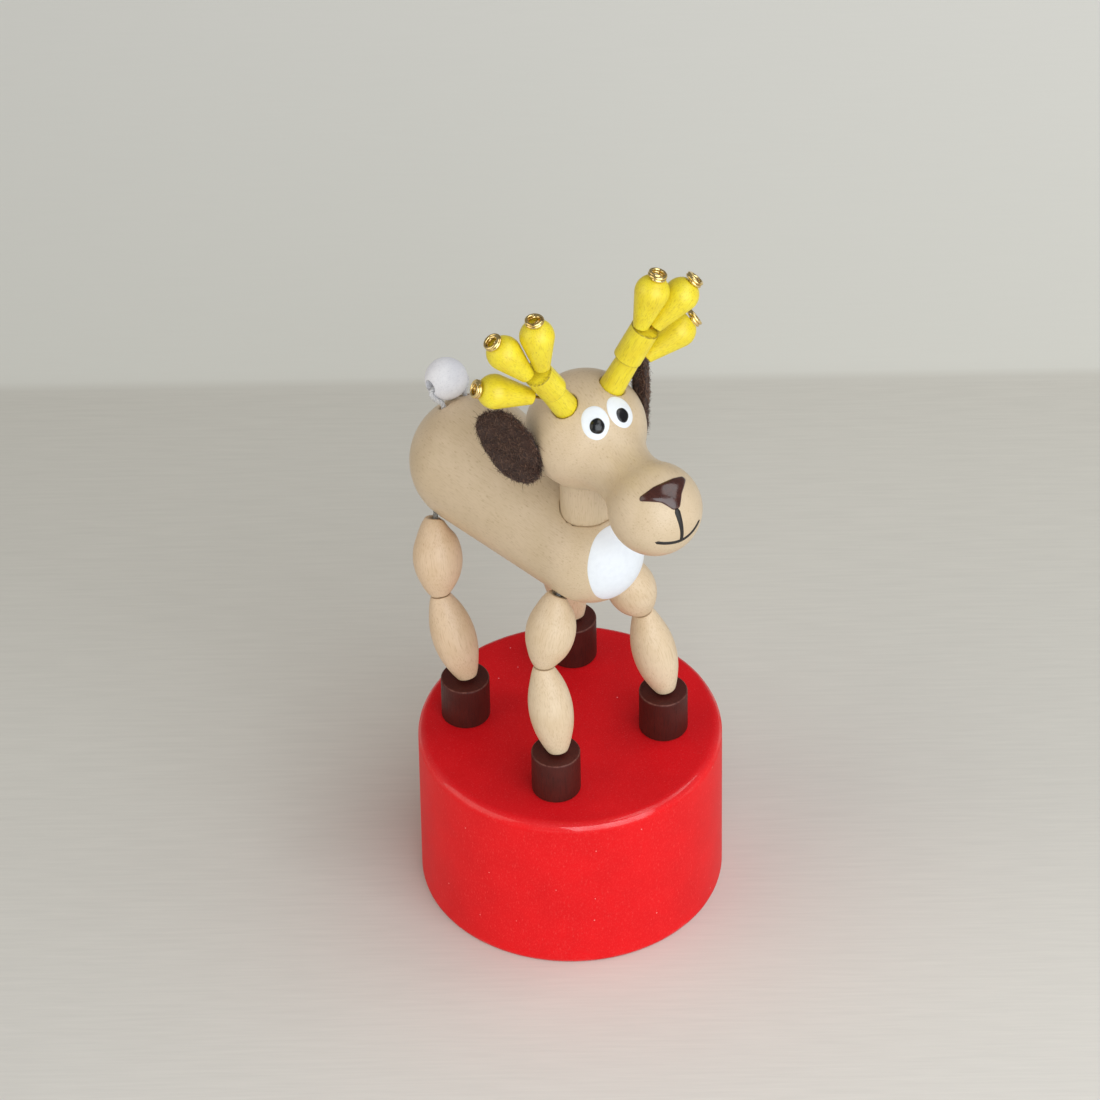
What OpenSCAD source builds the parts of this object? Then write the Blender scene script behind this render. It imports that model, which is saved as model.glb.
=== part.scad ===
// Push puppet: a wooden reindeer of beads strung on threads over a hollow base.
// A sprung button under the base keeps the threads taut, and pressing it lets the animal fold up.
// Millimetres. The origin is the centre of the base's foot, +Z is up and the animal faces -Y.

/* [Base] */
// Diameter of the base
base_d = 50; // [48:0.5:64]
// Height of the base
base_h = 30.5; // [29:0.5:44]
// Radius of the base's rounded top edge
base_edge_r = 1.6; // [0.6:0.1:2.4]
// Thickness of the base's side wall
base_wall = 4.6; // [3.4:0.1:5]
// Thickness of the base's roof
base_roof = 6.5; // [4:0.5:8]

/* [Push button] */
// Thickness of the button
button_h = 8; // [6:0.5:9]
// Depth of the button's face above the foot of the base
button_recess = 5; // [4.5:0.5:7]
// Gap between the button's rim and the base's wall
button_gap = 0.4; // [0.3:0.05:0.8]
// Width of the bevel around the button's face
button_bevel = 0.8; // [0.3:0.1:1.5]

/* [Return spring] */
// Outer diameter of the spring
spring_d = 18; // [12:0.5:20]
// Diameter of the spring's wire
spring_wire = 1; // [0.7:0.05:1.1]
// Number of turns in the spring, the flat end turns included
spring_turns = 5; // [4:1:6]
// Depth of the spring's seat in the button
spring_seat = 1; // [0.5:0.1:1.5]

/* [Threads] */
// Diameter of the threads
thread_d = 0.9; // [0.6:0.05:1.1]
// Diameter of the thread holes in base, hooves and leg beads
thread_hole_d = 1.8; // [1.6:0.1:2.2]
// Diameter of the drilled thread ways through the body
body_hole_d = 1.5; // [1.4:0.05:1.7]
// Diameter of the knots under the button
knot_d = 3; // [2.4:0.1:3.6]
// Distance of the front knots inside the button's rim
front_knot_inset = 4.64; // [4:0.02:6]
// Distance of the rear knots inside the button's rim
rear_knot_inset = 2.63; // [2.4:0.01:4]

/* [Hooves] */
// Diameter of a hoof
hoof_d = 8; // [7:0.1:9]
// Height of a hoof
hoof_h = 8; // [6:0.1:10]
// Distance between the left and right hooves
hoof_span_x = 22.8; // [20:0.2:24]
// Distance between the front and rear hooves
hoof_span_y = 23.4; // [21:0.2:25]
// Shift of the four hooves toward the rear
hoof_shift_y = 1.4; // [0:0.1:1.6]

/* [Legs] */
// Length of a shin bead
shin_len = 14.8; // [13:0.1:18]
// Largest diameter of a shin bead
shin_d = 7.2; // [6:0.1:7.6]
// Diameter of a shin bead's flat ends
shin_end_d = 3.3; // [3:0.1:3.8]
// Length of a thigh bead
thigh_len = 12.2; // [11:0.1:15]
// Largest diameter of a thigh bead
thigh_d = 8.1; // [7:0.1:8.6]
// Diameter of a thigh bead's flat ends
thigh_end_d = 3; // [2.8:0.1:3.6]
// Room left between two beads that touch on a thread
bead_gap = 0.15; // [0.1:0.05:0.3]
// Distance by which a shin's foot stands in front of its hoof's middle
shin_slip = 0.6; // [0:0.1:1]
// Backward lean of the front shins
front_shin_back = 17.2; // [14:0.2:20]
// Inward lean of the front shins
front_shin_in = 3.6; // [1:0.2:6]
// Backward lean of the rear shins
rear_shin_back = 22.2; // [19:0.2:25]
// Inward lean of the rear shins
rear_shin_in = -2; // [-4:0.2:1]
// Backward lean of the front thighs
front_thigh_back = 5.2; // [2:0.2:8]
// Inward lean of the front thighs
front_thigh_in = 18.4; // [16:0.2:20]
// Backward lean of the rear thighs
rear_thigh_back = 20.4; // [17:0.2:23]
// Inward lean of the rear thighs
rear_thigh_in = 12; // [10:0.2:14]

/* [Body] */
// Radius of the body's round rear end
rump_r = 10.9; // [10:0.1:12]
// Radius of the body's round front end
chest_r = 8.9; // [8:0.1:9.6]
// Room between a hip and the body, where the thread gives the leg its play
hip_gap = 0.35; // [0.25:0.05:0.5]
// Distance of the chest's centre in front of the front hips
chest_lead = 0.4; // [-0.5:0.1:1.5]
// Distance of the rump's centre in front of the rear hips
rump_lead = -0.6; // [-1:0.1:0.5]

/* [Neck and head] */
// Diameter of the neck
neck_d = 8.6; // [7.6:0.1:9]
// Length of the neck
neck_len = 8.3; // [7:0.1:10]
// Rounding of the neck's rims
neck_edge_r = 0.5; // [0.2:0.1:0.8]
// Distance of the neck behind the chest's centre
neck_set_back = 0.5; // [0:0.1:0.8]
// Diameter of the bore up the neck and into the head
neck_bore_d = 3.6; // [3.4:0.1:4]
// Radius of the skull
skull_r = 9.7; // [9:0.1:10.5]
// Radius of the snout
snout_r = 7.5; // [7:0.1:8]
// Distance from the skull's centre to the snout's centre
snout_reach = 19.7; // [18:0.1:21]
// Radius of the hollow between skull and snout
bridge_r = 7.5; // [6:0.1:10]
// Downward pitch of the head
head_pitch = 8; // [0:0.5:15]
// Turn of the head toward the animal's right
head_turn = 6; // [0:0.5:8]

/* [Antlers] */
// Diameter of an antler's lower stem
stem_d = 4.3; // [3.8:0.1:4.8]
// Length of the lower stem outside the head
stem_len = 5.7; // [5:0.1:7]
// Depth of the stem's hole in the head
stem_hole = 4; // [3:0.1:5]
// Diameter of an antler's upper stem
crown_d = 4.7; // [4.4:0.1:5]
// Length of the upper stem
crown_len = 6.3; // [5.5:0.1:7]
// Sideways step from the lower stem to the upper one
crown_step = 0.4; // [0:0.05:0.6]
// Outward lean of the left antler
left_antler_out = 24.2; // [21:0.2:27]
// Outward lean of the right antler
right_antler_out = 30.8; // [28:0.2:34]
// Forward lean of the left antler
left_antler_fwd = 12.4; // [9:0.2:15]
// Forward lean of the right antler
right_antler_fwd = 8.2; // [5:0.2:11]
// Length of a tine bead
tine_len = 10.1; // [9:0.1:11]
// Largest diameter of a tine bead
tine_d = 5.6; // [5:0.1:5.8]
// Diameter of a tine bead's narrow end
tine_end_d = 2.5; // [2.2:0.1:2.8]
// Diameter of the brass pins' wire
pin_wire = 0.6; // [0.5:0.05:0.7]
// Outer diameter of the curl on a brass pin
curl_d = 2.9; // [2.6:0.1:3.2]

/* [Ears and tail] */
// Length of an ear
ear_len = 14.6; // [13:0.2:16]
// Width of an ear
ear_w = 9.6; // [8.6:0.2:10.6]
// Thickness of the ears' felt
ear_t = 1.4; // [1:0.1:2]
// Diameter of the tail bead
tail_d = 7; // [6.4:0.1:7.6]
// Diameter of the tail bead's cross hole
tail_hole_d = 2.3; // [2:0.1:2.6]
// Backward lean of the tail
tail_back = 30.6; // [24:0.2:36]

/* [Painted marks] */
// Thickness of a painted mark
paint_t = 0.16; // [0.1:0.02:0.3]
// Height of an eye's white
eye_h = 5.6; // [4.5:0.1:6]
// Width of an eye's white
eye_w = 4.7; // [4:0.1:5]
// Diameter of a pupil
pupil_d = 2.45; // [2:0.05:2.8]
// Width of the nose
nose_w = 8; // [7:0.1:9]
// Width of the mouth's painted line
mouth_line = 0.4; // [0.3:0.05:0.6]
// Width of the white chest patch
bib_w = 11.6; // [10:0.1:12.5]
// Height of the white chest patch
bib_h = 13.4; // [12:0.1:13.8]

/* [Hidden] */
$fn = 64;
FRONT = 0;
REAR = 1;
LEFT = 1;
RIGHT = -1;
UP = [0, 0, 1];

// Small clearances: at glue, under paint, around knots, spring and pins, between turns of wire
glue_gap = 0.05;
paint_gap = 0.02;
knot_gap = 0.2;
spring_room = 0.5;
pin_room = 0.15;
coil_gap = 0.5;
// Overshoot of a tool that cuts through a face
cut = 0.1;
way_over = 2;

// Heights inside the base
roof_z = base_h - base_roof;
button_top = button_recess + button_h;
cavity_r = base_d / 2 - base_wall;
button_r = cavity_r - button_gap;
knot_pocket_d = knot_d + 2 * knot_gap;
knot_top = button_recess + knot_d;
hoof_top = base_h + hoof_h;

// Lean of each pair of legs, front pair first
shin_back = [front_shin_back, rear_shin_back];
shin_in = [front_shin_in, rear_shin_in];
thigh_back = [front_thigh_back, rear_thigh_back];
thigh_in = [front_thigh_in, rear_thigh_in];

function unit(v) = v / norm(v);

// Direction of a bead that leans back and inward on one side of the animal
function lean(side, back, inward) =
    [-side * sin(inward), cos(inward) * sin(back), cos(inward) * cos(back)];

// Room that two end faces of radius r need when their beads point along a and b
function joint_room(a, b, r) = 2 * r * sin(acos(min(1, a * b)) / 2) + bead_gap;

// Centre of the next bead's end face, set on a bead that ends at p
function stack(p, a, b, r) = p + joint_room(a, b, r) * unit(a + b);

function hoof_spot(end, side) =
    [side * hoof_span_x / 2, hoof_shift_y + (end == FRONT ? -1 : 1) * hoof_span_y / 2, 0];

// Place of a knot under the button, on the line from the middle to its hoof
knot_inset = [front_knot_inset, rear_knot_inset];
function knot_spot(end, side) = (button_r - knot_inset[end]) * unit(hoof_spot(end, side));

function shin_dir(end, side) = lean(side, shin_back[end], shin_in[end]);
function thigh_dir(end, side) = lean(side, thigh_back[end], thigh_in[end]);
function shin_foot(end, side) =
    stack(hoof_spot(end, side) + [0, -shin_slip, hoof_top], UP, shin_dir(end, side), shin_end_d / 2);
function shin_top(end, side) = shin_foot(end, side) + shin_len * shin_dir(end, side);
function thigh_foot(end, side) =
    stack(shin_top(end, side), shin_dir(end, side), thigh_dir(end, side), max(shin_end_d, thigh_end_d) / 2);
function thigh_top(end, side) = thigh_foot(end, side) + thigh_len * thigh_dir(end, side);

// Inner edge of a thigh's top face, where it meets the body
function hip_edge(end) =
    thigh_top(end, LEFT)
    - thigh_end_d / 2 * [
        cos(thigh_in[end]),
        sin(thigh_in[end]) * sin(thigh_back[end]),
        sin(thigh_in[end]) * cos(thigh_back[end])
    ];

// Centre of a round end of the body that rests on its two hips
function body_centre(end, r, lead) =
    let (edge = hip_edge(end))
    [0, thigh_top(end, LEFT)[1] - lead, edge[2] + sqrt(pow(r + hip_gap, 2) - pow(edge[0], 2))];

rump = body_centre(REAR, rump_r, rump_lead);
chest = body_centre(FRONT, chest_r, chest_lead);
body_len = norm(chest - rump);
body_pitch = atan2(chest[2] - rump[2], rump[1] - chest[1]);
taper = asin((rump_r - chest_r) / body_len);

// Flat seats under and over the neck, and how far their cutter runs past them
seat_room = 0.1;
seat_rim = 0.2;
seat_r = neck_d / 2 + seat_room;
chest_seat =
    chest + [0, neck_set_back, sqrt(pow(chest_r, 2) - pow(seat_r + neck_set_back, 2))];
neck_foot = chest_seat + bead_gap * UP;
neck_top = neck_foot + neck_len * UP;
head_seat_drop = sqrt(pow(skull_r, 2) - pow(seat_r, 2));
skull = neck_top + (bead_gap + head_seat_drop) * UP;
head_bore_depth = 10;

// Snout's centre and the hollow's circle, in the plane of the head's turned outline
snout = [0, -snout_reach * cos(head_pitch), -snout_reach * sin(head_pitch)];
bridge_along =
    (pow(snout_reach, 2) + pow(skull_r + bridge_r, 2) - pow(snout_r + bridge_r, 2)) / (2 * snout_reach);
bridge_off = sqrt(pow(skull_r + bridge_r, 2) - pow(bridge_along, 2));

// Tail bead, seated on the rump
tail_dir = [0, sin(tail_back), cos(tail_back)];
tail = rump + (rump_r + tail_d / 2 + bead_gap) * tail_dir;

// Fan of tines on each antler, left one first: its turn to the rear and the tines' angles from upright
fan_turn = [-7, 17];
fan_angles = [[18, 46, 62], [6.5, 34, 67]];
// Places of the two upper tines across the crown, in tine ends, and height of the lowest on it
crown_spots = [-0.45, 0.62];
side_spot = 0.4;
// Height of a tine's round end and what its flat tip takes off
tine_swell = 6.7;
tine_crop = 0.9;
pin_hole_d = pin_wire + 2 * pin_room;
pin_depth = 1.8;

function antler_dir(side) =
    side == LEFT ? lean(-side, -left_antler_fwd, left_antler_out)
    : lean(-side, -right_antler_fwd, right_antler_out);
function fan_out(side) =
    let (turn = side == LEFT ? fan_turn[0] : fan_turn[1]) [side * cos(turn), sin(turn), 0];
function tine_dir(side, i) =
    let (a = side == LEFT ? fan_angles[0][i] : fan_angles[1][i]) cos(a) * UP + sin(a) * fan_out(side);
function square_to(v, axis) = unit(v - (v * axis) * axis);

// The upper stem steps away from the lower one, against the fan
function crown_foot(side) =
    (skull_r + stem_len + glue_gap) * antler_dir(side)
    - crown_step * square_to(fan_out(side), antler_dir(side));
function crown_top(side) = crown_foot(side) + crown_len * antler_dir(side);

// Narrow ends of the tines: two on the crown, one on the side of the step
function tine_foot(side, i) =
    let (
        stem = antler_dir(side),
        out = square_to(fan_out(side), antler_dir(side)),
        dir = tine_dir(side, i),
        lift = tine_end_d / 2 * norm(cross(stem, dir)) + glue_gap,
        reach = crown_d / 2 + tine_end_d / 2 * abs(stem * dir) + glue_gap
    )
    i < 2 ? crown_top(side) + lift * stem + crown_spots[i] * tine_end_d * out
    : crown_foot(side) + side_spot * stem + reach * out;

// Ears: felt ovals square to a line forward of the skull's side, glued on at their front edge
ear_spot = 33.4;
ear_tilt = 28;
ear_rise = 0.5;
ear_lead = 3.8;
ear_bite = 1;
ear_back = ear_lead + norm([ear_w * cos(ear_tilt), ear_len * sin(ear_tilt)]) / 2;
ear_seat = sqrt(pow(skull_r + glue_gap, 2) - pow(ear_lead + ear_bite, 2));

// Painted marks on the head: turn from straight ahead and lift above level
eye_turn = 20.5;
eye_lift = 45.3;
pupil_turn = 19.2;
pupil_lift = 41.8;
nose_lift = 46;
mouth_lift = -6;
bib_lift = 10;

tan_paint = [0.78, 0.67, 0.53];
bare_wood = [0.88, 0.78, 0.65];
red_paint = [0.85, 0.12, 0.14];
dark_paint = [0.24, 0.1, 0.09];
yellow_stain = [0.94, 0.86, 0.16];
white_paint = [0.96, 0.97, 1];
black_paint = [0.05, 0.05, 0.06];
felt_brown = [0.25, 0.17, 0.16];
brass_wire = [0.78, 0.6, 0.28];
grey_thread = [0.36, 0.36, 0.38];
spring_steel = [0.62, 0.63, 0.65];

// Places a child drawn along +Z at p, with its +Z along d
module along(p, d) {
    translate(p)
        rotate([0, acos(d[2] / norm(d)), atan2(d[1], d[0])])
            children();
}

// Straight hole or rod of diameter d from a to b
module rod(a, b, d) {
    along(a, b - a)
        cylinder(d = d, h = norm(b - a));
}

// Right half of the plane, for turned outlines
module turned(size) {
    rotate_extrude()
        intersection() {
            children();
            translate([0, -size])
                square([size, 2 * size]);
        }
}

// Tube of radius r along the points, with rings square to the path and sides kept to a reference
module tube(points, r, sides, ref) {
    last = len(points) - 1;
    rings = [
        for (i = [0 : last])
            let (
                t = unit(points[min(i + 1, last)] - points[max(i - 1, 0)]),
                u = unit(cross(t, ref)),
                v = cross(t, u)
            )
            for (k = [0 : sides - 1])
                points[i] + r * (cos(360 * k / sides) * u + sin(360 * k / sides) * v)
    ];
    walls = [
        for (i = [0 : last - 1], k = [0 : sides - 1])
            let (a = i * sides + k, b = i * sides + (k + 1) % sides)
            each [[a, a + sides, b], [b, a + sides, b + sides]]
    ];
    ends = [
        for (k = [1 : sides - 2])
            each [[0, k, k + 1], [last * sides, last * sides + k + 1, last * sides + k]]
    ];
    polyhedron(points = rings, faces = concat(walls, ends));
}

// Barrel bead with flat ends and a bore, its foot at the origin
module barrel(length, belly_d, end_d, bore_d) {
    swell = (belly_d - end_d) / 2;
    arc_r = (pow(length / 2, 2) + pow(swell, 2)) / (2 * swell);
    difference() {
        rotate_extrude()
            intersection() {
                translate([belly_d / 2 - arc_r, length / 2])
                    circle(r = arc_r, $fn = 128);
                square([belly_d, length]);
            }
        translate([0, 0, -cut])
            cylinder(d = bore_d, h = length + 2 * cut);
    }
}

// Base: a round wooden cup, open below, with four thread holes in its roof
module base_shell() {
    color(red_paint)
        difference() {
            rotate_extrude($fn = 128) {
                square([base_d / 2, base_h - base_edge_r]);
                square([base_d / 2 - base_edge_r, base_h]);
                translate([base_d / 2 - base_edge_r, base_h - base_edge_r])
                    circle(r = base_edge_r);
            }
            translate([0, 0, -cut])
                cylinder(r = cavity_r, h = roof_z + cut, $fn = 128);
            for (end = [FRONT, REAR], side = [LEFT, RIGHT])
                translate(hoof_spot(end, side))
                    cylinder(d = thread_hole_d, h = base_h + cut);
        }
}

// Button: a loose disc with a seat for the spring and a pocket for each knot
module push_button() {
    color(bare_wood)
        difference() {
            union() {
                translate([0, 0, button_recess + button_bevel])
                    cylinder(r = button_r, h = button_h - button_bevel);
                translate([0, 0, button_recess])
                    cylinder(r1 = button_r - button_bevel, r2 = button_r, h = button_bevel);
            }
            translate([0, 0, button_top - spring_seat])
                cylinder(d = spring_d + 2 * spring_room, h = spring_seat + cut);
            for (end = [FRONT, REAR], side = [LEFT, RIGHT])
                translate(knot_spot(end, side)) {
                    cylinder(d = thread_hole_d, h = base_h);
                    cylinder(d = knot_pocket_d, h = knot_top + knot_gap);
                }
        }
}

// Spring: one wire, closed at both ends, from the button's seat to the roof
spring_foot = button_top - spring_seat;
spring_r = (spring_d - spring_wire) / 2;
end_pitch = spring_wire + coil_gap;
open_pitch = (roof_z - spring_foot - spring_wire - 2 * end_pitch) / (spring_turns - 2);
spring_steps = 12;
function spring_rise(n) =
    n < 1 ? end_pitch * n
    : n > spring_turns - 1 ? end_pitch + open_pitch * (spring_turns - 2) + end_pitch * (n - spring_turns + 1)
    : end_pitch + open_pitch * (n - 1);
spring_path = [
    for (i = [0 : spring_turns * spring_steps])
        [
            spring_r * cos(360 * i / spring_steps),
            spring_r * sin(360 * i / spring_steps),
            spring_foot + spring_wire / 2 + spring_rise(i / spring_steps)
        ]
];
spring_least_gap = min([
    for (i = [0 : len(spring_path) - spring_steps], j = [i + spring_steps - 2 : len(spring_path) - 1])
        norm(spring_path[i] - spring_path[j])
]) - spring_wire;
echo(spring_least_gap = spring_least_gap);

module return_spring() {
    color(spring_steel)
        tube(spring_path, spring_wire / 2, 6, UP);
}

// Knots: balls in the button's pockets, flat where each thread comes in
module thread_knots() {
    color(grey_thread)
        for (end = [FRONT, REAR], side = [LEFT, RIGHT])
            translate(knot_spot(end, side) + [0, 0, knot_top - knot_d / 2])
                intersection() {
                    sphere(d = knot_d);
                    translate([-knot_d / 2, -knot_d / 2, -knot_d / 2 + knot_gap])
                        cube([knot_d, knot_d, knot_d - 2 * knot_gap]);
                }
}

module hoof(end, side) {
    color(dark_paint)
        translate(hoof_spot(end, side) + base_h * UP)
            difference() {
                cylinder(d = hoof_d, h = hoof_h);
                translate([0, 0, -cut])
                    cylinder(d = thread_hole_d, h = hoof_h + 2 * cut);
            }
}

module shin(end, side) {
    color(bare_wood)
        translate(shin_foot(end, side))
            rotate([-shin_back[end], 0, 0])
                rotate([0, -side * shin_in[end], 0])
                    barrel(shin_len, shin_d, shin_end_d, thread_hole_d);
}

module thigh(end, side) {
    color(bare_wood)
        translate(thigh_foot(end, side))
            rotate([-thigh_back[end], 0, 0])
                rotate([0, -side * thigh_in[end], 0])
                    barrel(thigh_len, thigh_d, thigh_end_d, thread_hole_d);
}

// Thread ways through the body: rear legs to both sides of the tail, front legs to a well under the neck
tail_way_x = tail_d / 2;
function tail_way(side) =
    rump + [side * tail_way_x, 0, 0] + sqrt(pow(rump_r, 2) - pow(tail_way_x, 2)) * tail_dir;
neck_way_x = 1;
neck_way_drop = 5;
neck_well = 6.5;
function neck_way(side) = chest_seat + [side * neck_way_x, 0, -neck_way_drop];

module body() {
    color(tan_paint)
        difference() {
            translate(rump)
                rotate([90 - body_pitch, 0, 0])
                    turned(2 * body_len) {
                        circle(r = rump_r, $fn = 128);
                        translate([0, body_len])
                            circle(r = chest_r, $fn = 128);
                        polygon([
                            [0, 0],
                            rump_r * [cos(taper), sin(taper)],
                            [chest_r * cos(taper), body_len + chest_r * sin(taper)],
                            [0, body_len]
                        ]);
                    }
            translate(chest_seat)
                cylinder(r = seat_r + seat_rim, h = chest_r);
            translate(chest_seat - neck_well * UP)
                cylinder(d = neck_bore_d, h = chest_r);
            for (side = [LEFT, RIGHT]) {
                way(thigh_top(REAR, side), tail_way(side), way_over);
                way(thigh_top(FRONT, side), neck_way(side), 0);
            }
        }
}

// A way drilled from below, which starts clear of the body and runs past b by over
module way(a, b, over) {
    dir = unit(b - a);
    rod(a - way_over * dir, b + over * dir, body_hole_d);
}

// Thin painted mark on a ball of radius r, where the child's outline looks along d
module mark(r, d) {
    intersection() {
        difference() {
            sphere(r = r + paint_gap + paint_t, $fn = 128);
            sphere(r = r + paint_gap, $fn = 128);
        }
        rotate([0, 0, 90 + atan2(d[1], d[0])])
            rotate([90 - asin(d[2]), 0, 0])
                linear_extrude(height = 2 * r)
                    children();
    }
}

// Unit vector at a turn from straight ahead and a lift above level
function facing(turn, lift) = [sin(turn) * cos(lift), -cos(turn) * cos(lift), sin(lift)];

function oval(w, h, n) = [for (i = [0 : n - 1]) [w / 2 * cos(360 * i / n), h / 2 * sin(360 * i / n)]];

module chest_bib() {
    color(white_paint)
        translate(chest)
            mark(chest_r, facing(0, bib_lift))
                polygon(oval(bib_w, bib_h, 48));
}

module tail_bead() {
    color(white_paint)
        translate(tail)
            rotate([0, 90, 0])
                difference() {
                    sphere(d = tail_d);
                    cylinder(d = tail_hole_d, h = tail_d + cut, center = true);
                }
}

module neck() {
    color(tan_paint)
        translate(neck_foot)
            difference() {
                rotate_extrude() {
                    translate([0, neck_edge_r])
                        square([neck_d / 2, neck_len - 2 * neck_edge_r]);
                    square([neck_d / 2 - neck_edge_r, neck_len]);
                    for (z = [neck_edge_r, neck_len - neck_edge_r])
                        translate([neck_d / 2 - neck_edge_r, z])
                            circle(r = neck_edge_r);
                }
                translate([0, 0, -cut])
                    cylinder(d = neck_bore_d, h = neck_len + 2 * cut);
            }
}

// Frame of the head: the skull's centre, turned to the animal's right
module in_head() {
    translate(skull)
        rotate([0, 0, -head_turn])
            children();
}

// Half outline of the hollow between skull and snout, grown by over
module bridge(over) {
    difference() {
        polygon([[0, 0], [bridge_off, bridge_along], [0, snout_reach]]);
        translate([bridge_off, bridge_along])
            circle(r = bridge_r - over, $fn = 128);
    }
}

module head() {
    color(tan_paint)
        in_head()
            difference() {
                rotate([90 + head_pitch, 0, 0])
                    turned(2 * snout_reach) {
                        circle(r = skull_r, $fn = 128);
                        translate([0, snout_reach])
                            circle(r = snout_r, $fn = 128);
                        bridge(0);
                    }
                translate([0, 0, -skull_r])
                    cylinder(r = seat_r + seat_rim, h = skull_r - head_seat_drop);
                translate([0, 0, -skull_r])
                    cylinder(d = neck_bore_d, h = head_bore_depth);
                for (side = [LEFT, RIGHT])
                    along((skull_r - stem_hole) * antler_dir(side), antler_dir(side))
                        cylinder(d = stem_d + 2 * glue_gap, h = skull_r);
            }
}

// Peg that wedges the two front threads in the head's bore
peg_d = 2 * neck_way_x - thread_d - 2 * glue_gap;
peg_foot = skull - (skull_r - neck_bore_d) * UP;
peg_len = head_bore_depth - neck_bore_d;
module head_peg() {
    color(bare_wood)
        translate(peg_foot)
            cylinder(d = peg_d, h = peg_len);
}

// Ear: a felt oval whose front edge is hollowed to sit on the skull
module ear(side) {
    color(felt_brown)
        in_head()
            difference() {
                rotate([0, 0, -side * ear_spot])
                    translate([side * (ear_seat + ear_t / 2), ear_back, ear_rise])
                        rotate([90, 0, 90])
                            rotate([0, 0, 180 - ear_tilt])
                                linear_extrude(height = ear_t, center = true)
                                    polygon(oval(ear_w, ear_len, 40));
                sphere(r = skull_r + glue_gap);
            }
}

// Eye: an oval whose lower tip runs out where the hollow rises through the paint
module eye_white(side) {
    color(white_paint)
        in_head()
            difference() {
                mark(skull_r, facing(side * eye_turn, eye_lift))
                    polygon(oval(eye_w, eye_h, 40));
                rotate([90 + head_pitch, 0, 0])
                    turned(2 * snout_reach)
                        bridge(paint_gap / 2);
            }
}

module pupil(side) {
    color(black_paint)
        in_head()
            mark(skull_r + paint_gap + paint_t, facing(side * pupil_turn, pupil_lift))
                circle(d = pupil_d);
}

// Nose: a triangle with drawn-in sides on top of the snout
module nose_paint() {
    color(dark_paint)
        in_head()
            translate(snout)
                mark(snout_r, facing(0, nose_lift))
                    polygon([
                        for (p = [
                            [-0.5, 0.27], [-0.46, 0.33], [-0.22, 0.38],
                            [0.22, 0.38], [0.46, 0.33], [0.5, 0.27],
                            [0.24, 0.06], [0.06, -0.17], [-0.06, -0.17], [-0.24, 0.06]
                        ])
                            nose_w * p
                    ]);
}

// Mouth: a smile of one arc under a line that comes down from the nose
smile_r = 6.2;
smile_half = 42;
smile_drop = 0.5;
lip_line = 5.45;
module mouth_paint() {
    color(black_paint)
        in_head()
            translate(snout)
                mark(snout_r, facing(0, mouth_lift)) {
                    translate([0, smile_r - smile_drop])
                        intersection() {
                            difference() {
                                circle(r = smile_r + mouth_line / 2);
                                circle(r = smile_r - mouth_line / 2);
                            }
                            polygon([
                                [0, 0],
                                2 * smile_r * [-sin(smile_half), -cos(smile_half)],
                                2 * smile_r * [sin(smile_half), -cos(smile_half)]
                            ]);
                        }
                    translate([-mouth_line / 2, -smile_drop])
                        square([mouth_line, lip_line]);
                }
}

module antler_stem(side) {
    color(yellow_stain)
        in_head()
            difference() {
                along((skull_r - stem_hole + glue_gap) * antler_dir(side), antler_dir(side))
                    cylinder(d = stem_d, h = stem_hole + stem_len - glue_gap);
                pin_holes(side);
            }
}

module antler_crown(side) {
    color(yellow_stain)
        in_head()
            difference() {
                along(crown_foot(side), antler_dir(side))
                    cylinder(d = crown_d, h = crown_len);
                pin_holes(side);
            }
}

// Holes that take the brass pins' ends in the stems
module pin_holes(side) {
    for (i = [0 : 2])
        rod(
            tine_foot(side, i) - (pin_depth + 2 * glue_gap) * tine_dir(side, i),
            tine_foot(side, i) + tine_dir(side, i),
            pin_hole_d
        );
}

// Tine: a teardrop bead, narrow at the stem and round at the tip
module tine(side, i) {
    round_r = tine_d / 2;
    slope = asin((round_r - tine_end_d / 2) / tine_swell);
    color(yellow_stain)
        in_head()
            along(tine_foot(side, i), tine_dir(side, i))
                difference() {
                    rotate_extrude()
                        intersection() {
                            union() {
                                translate([0, tine_swell])
                                    circle(r = round_r);
                                polygon([
                                    [0, 0],
                                    [tine_end_d / 2, 0],
                                    [round_r * cos(slope), tine_swell - round_r * sin(slope)],
                                    [0, tine_swell]
                                ]);
                            }
                            square([tine_d, tine_len - tine_crop]);
                        }
                    translate([0, 0, -cut])
                        cylinder(d = pin_hole_d, h = tine_len + cut);
                }
}

// Brass pin: a shank through the tine, then a half circle out to one rising turn on the tine's tip
curl_steps = 10;
curl_r = (curl_d - pin_wire) / 2;
curl_pitch = pin_wire + coil_gap;
curl_foot = tine_len - tine_crop + glue_gap + pin_wire / 2;
curl_path = [
    for (n = [0 : curl_steps / 2])
        let (a = 180 + 360 * n / curl_steps)
        curl_r / 2 * [1 + cos(a), sin(a), 0] + curl_foot * UP,
    for (n = [1 : curl_steps])
        let (a = 360 * n / curl_steps)
        [curl_r * cos(a), curl_r * sin(a), curl_foot + curl_pitch * n / curl_steps]
];
curl_least_gap = min([
    for (i = [0 : len(curl_path) - 1], j = [0 : len(curl_path) - 1])
        if (j - i > curl_steps / 2) norm(curl_path[i] - curl_path[j])
]) - pin_wire;
echo(curl_least_gap = curl_least_gap);

module pin(side, i) {
    color(brass_wire)
        in_head()
            along(tine_foot(side, i), tine_dir(side, i)) {
                translate([0, 0, -pin_depth])
                    cylinder(d = pin_wire, h = curl_foot + pin_depth);
                tube(curl_path, pin_wire / 2, 6, UP);
            }
}

// A thread bends over a short stretch on each side of a joint: from bend_far to bend_near of its face
bend_far = 2;
bend_near = 0.6;

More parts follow.
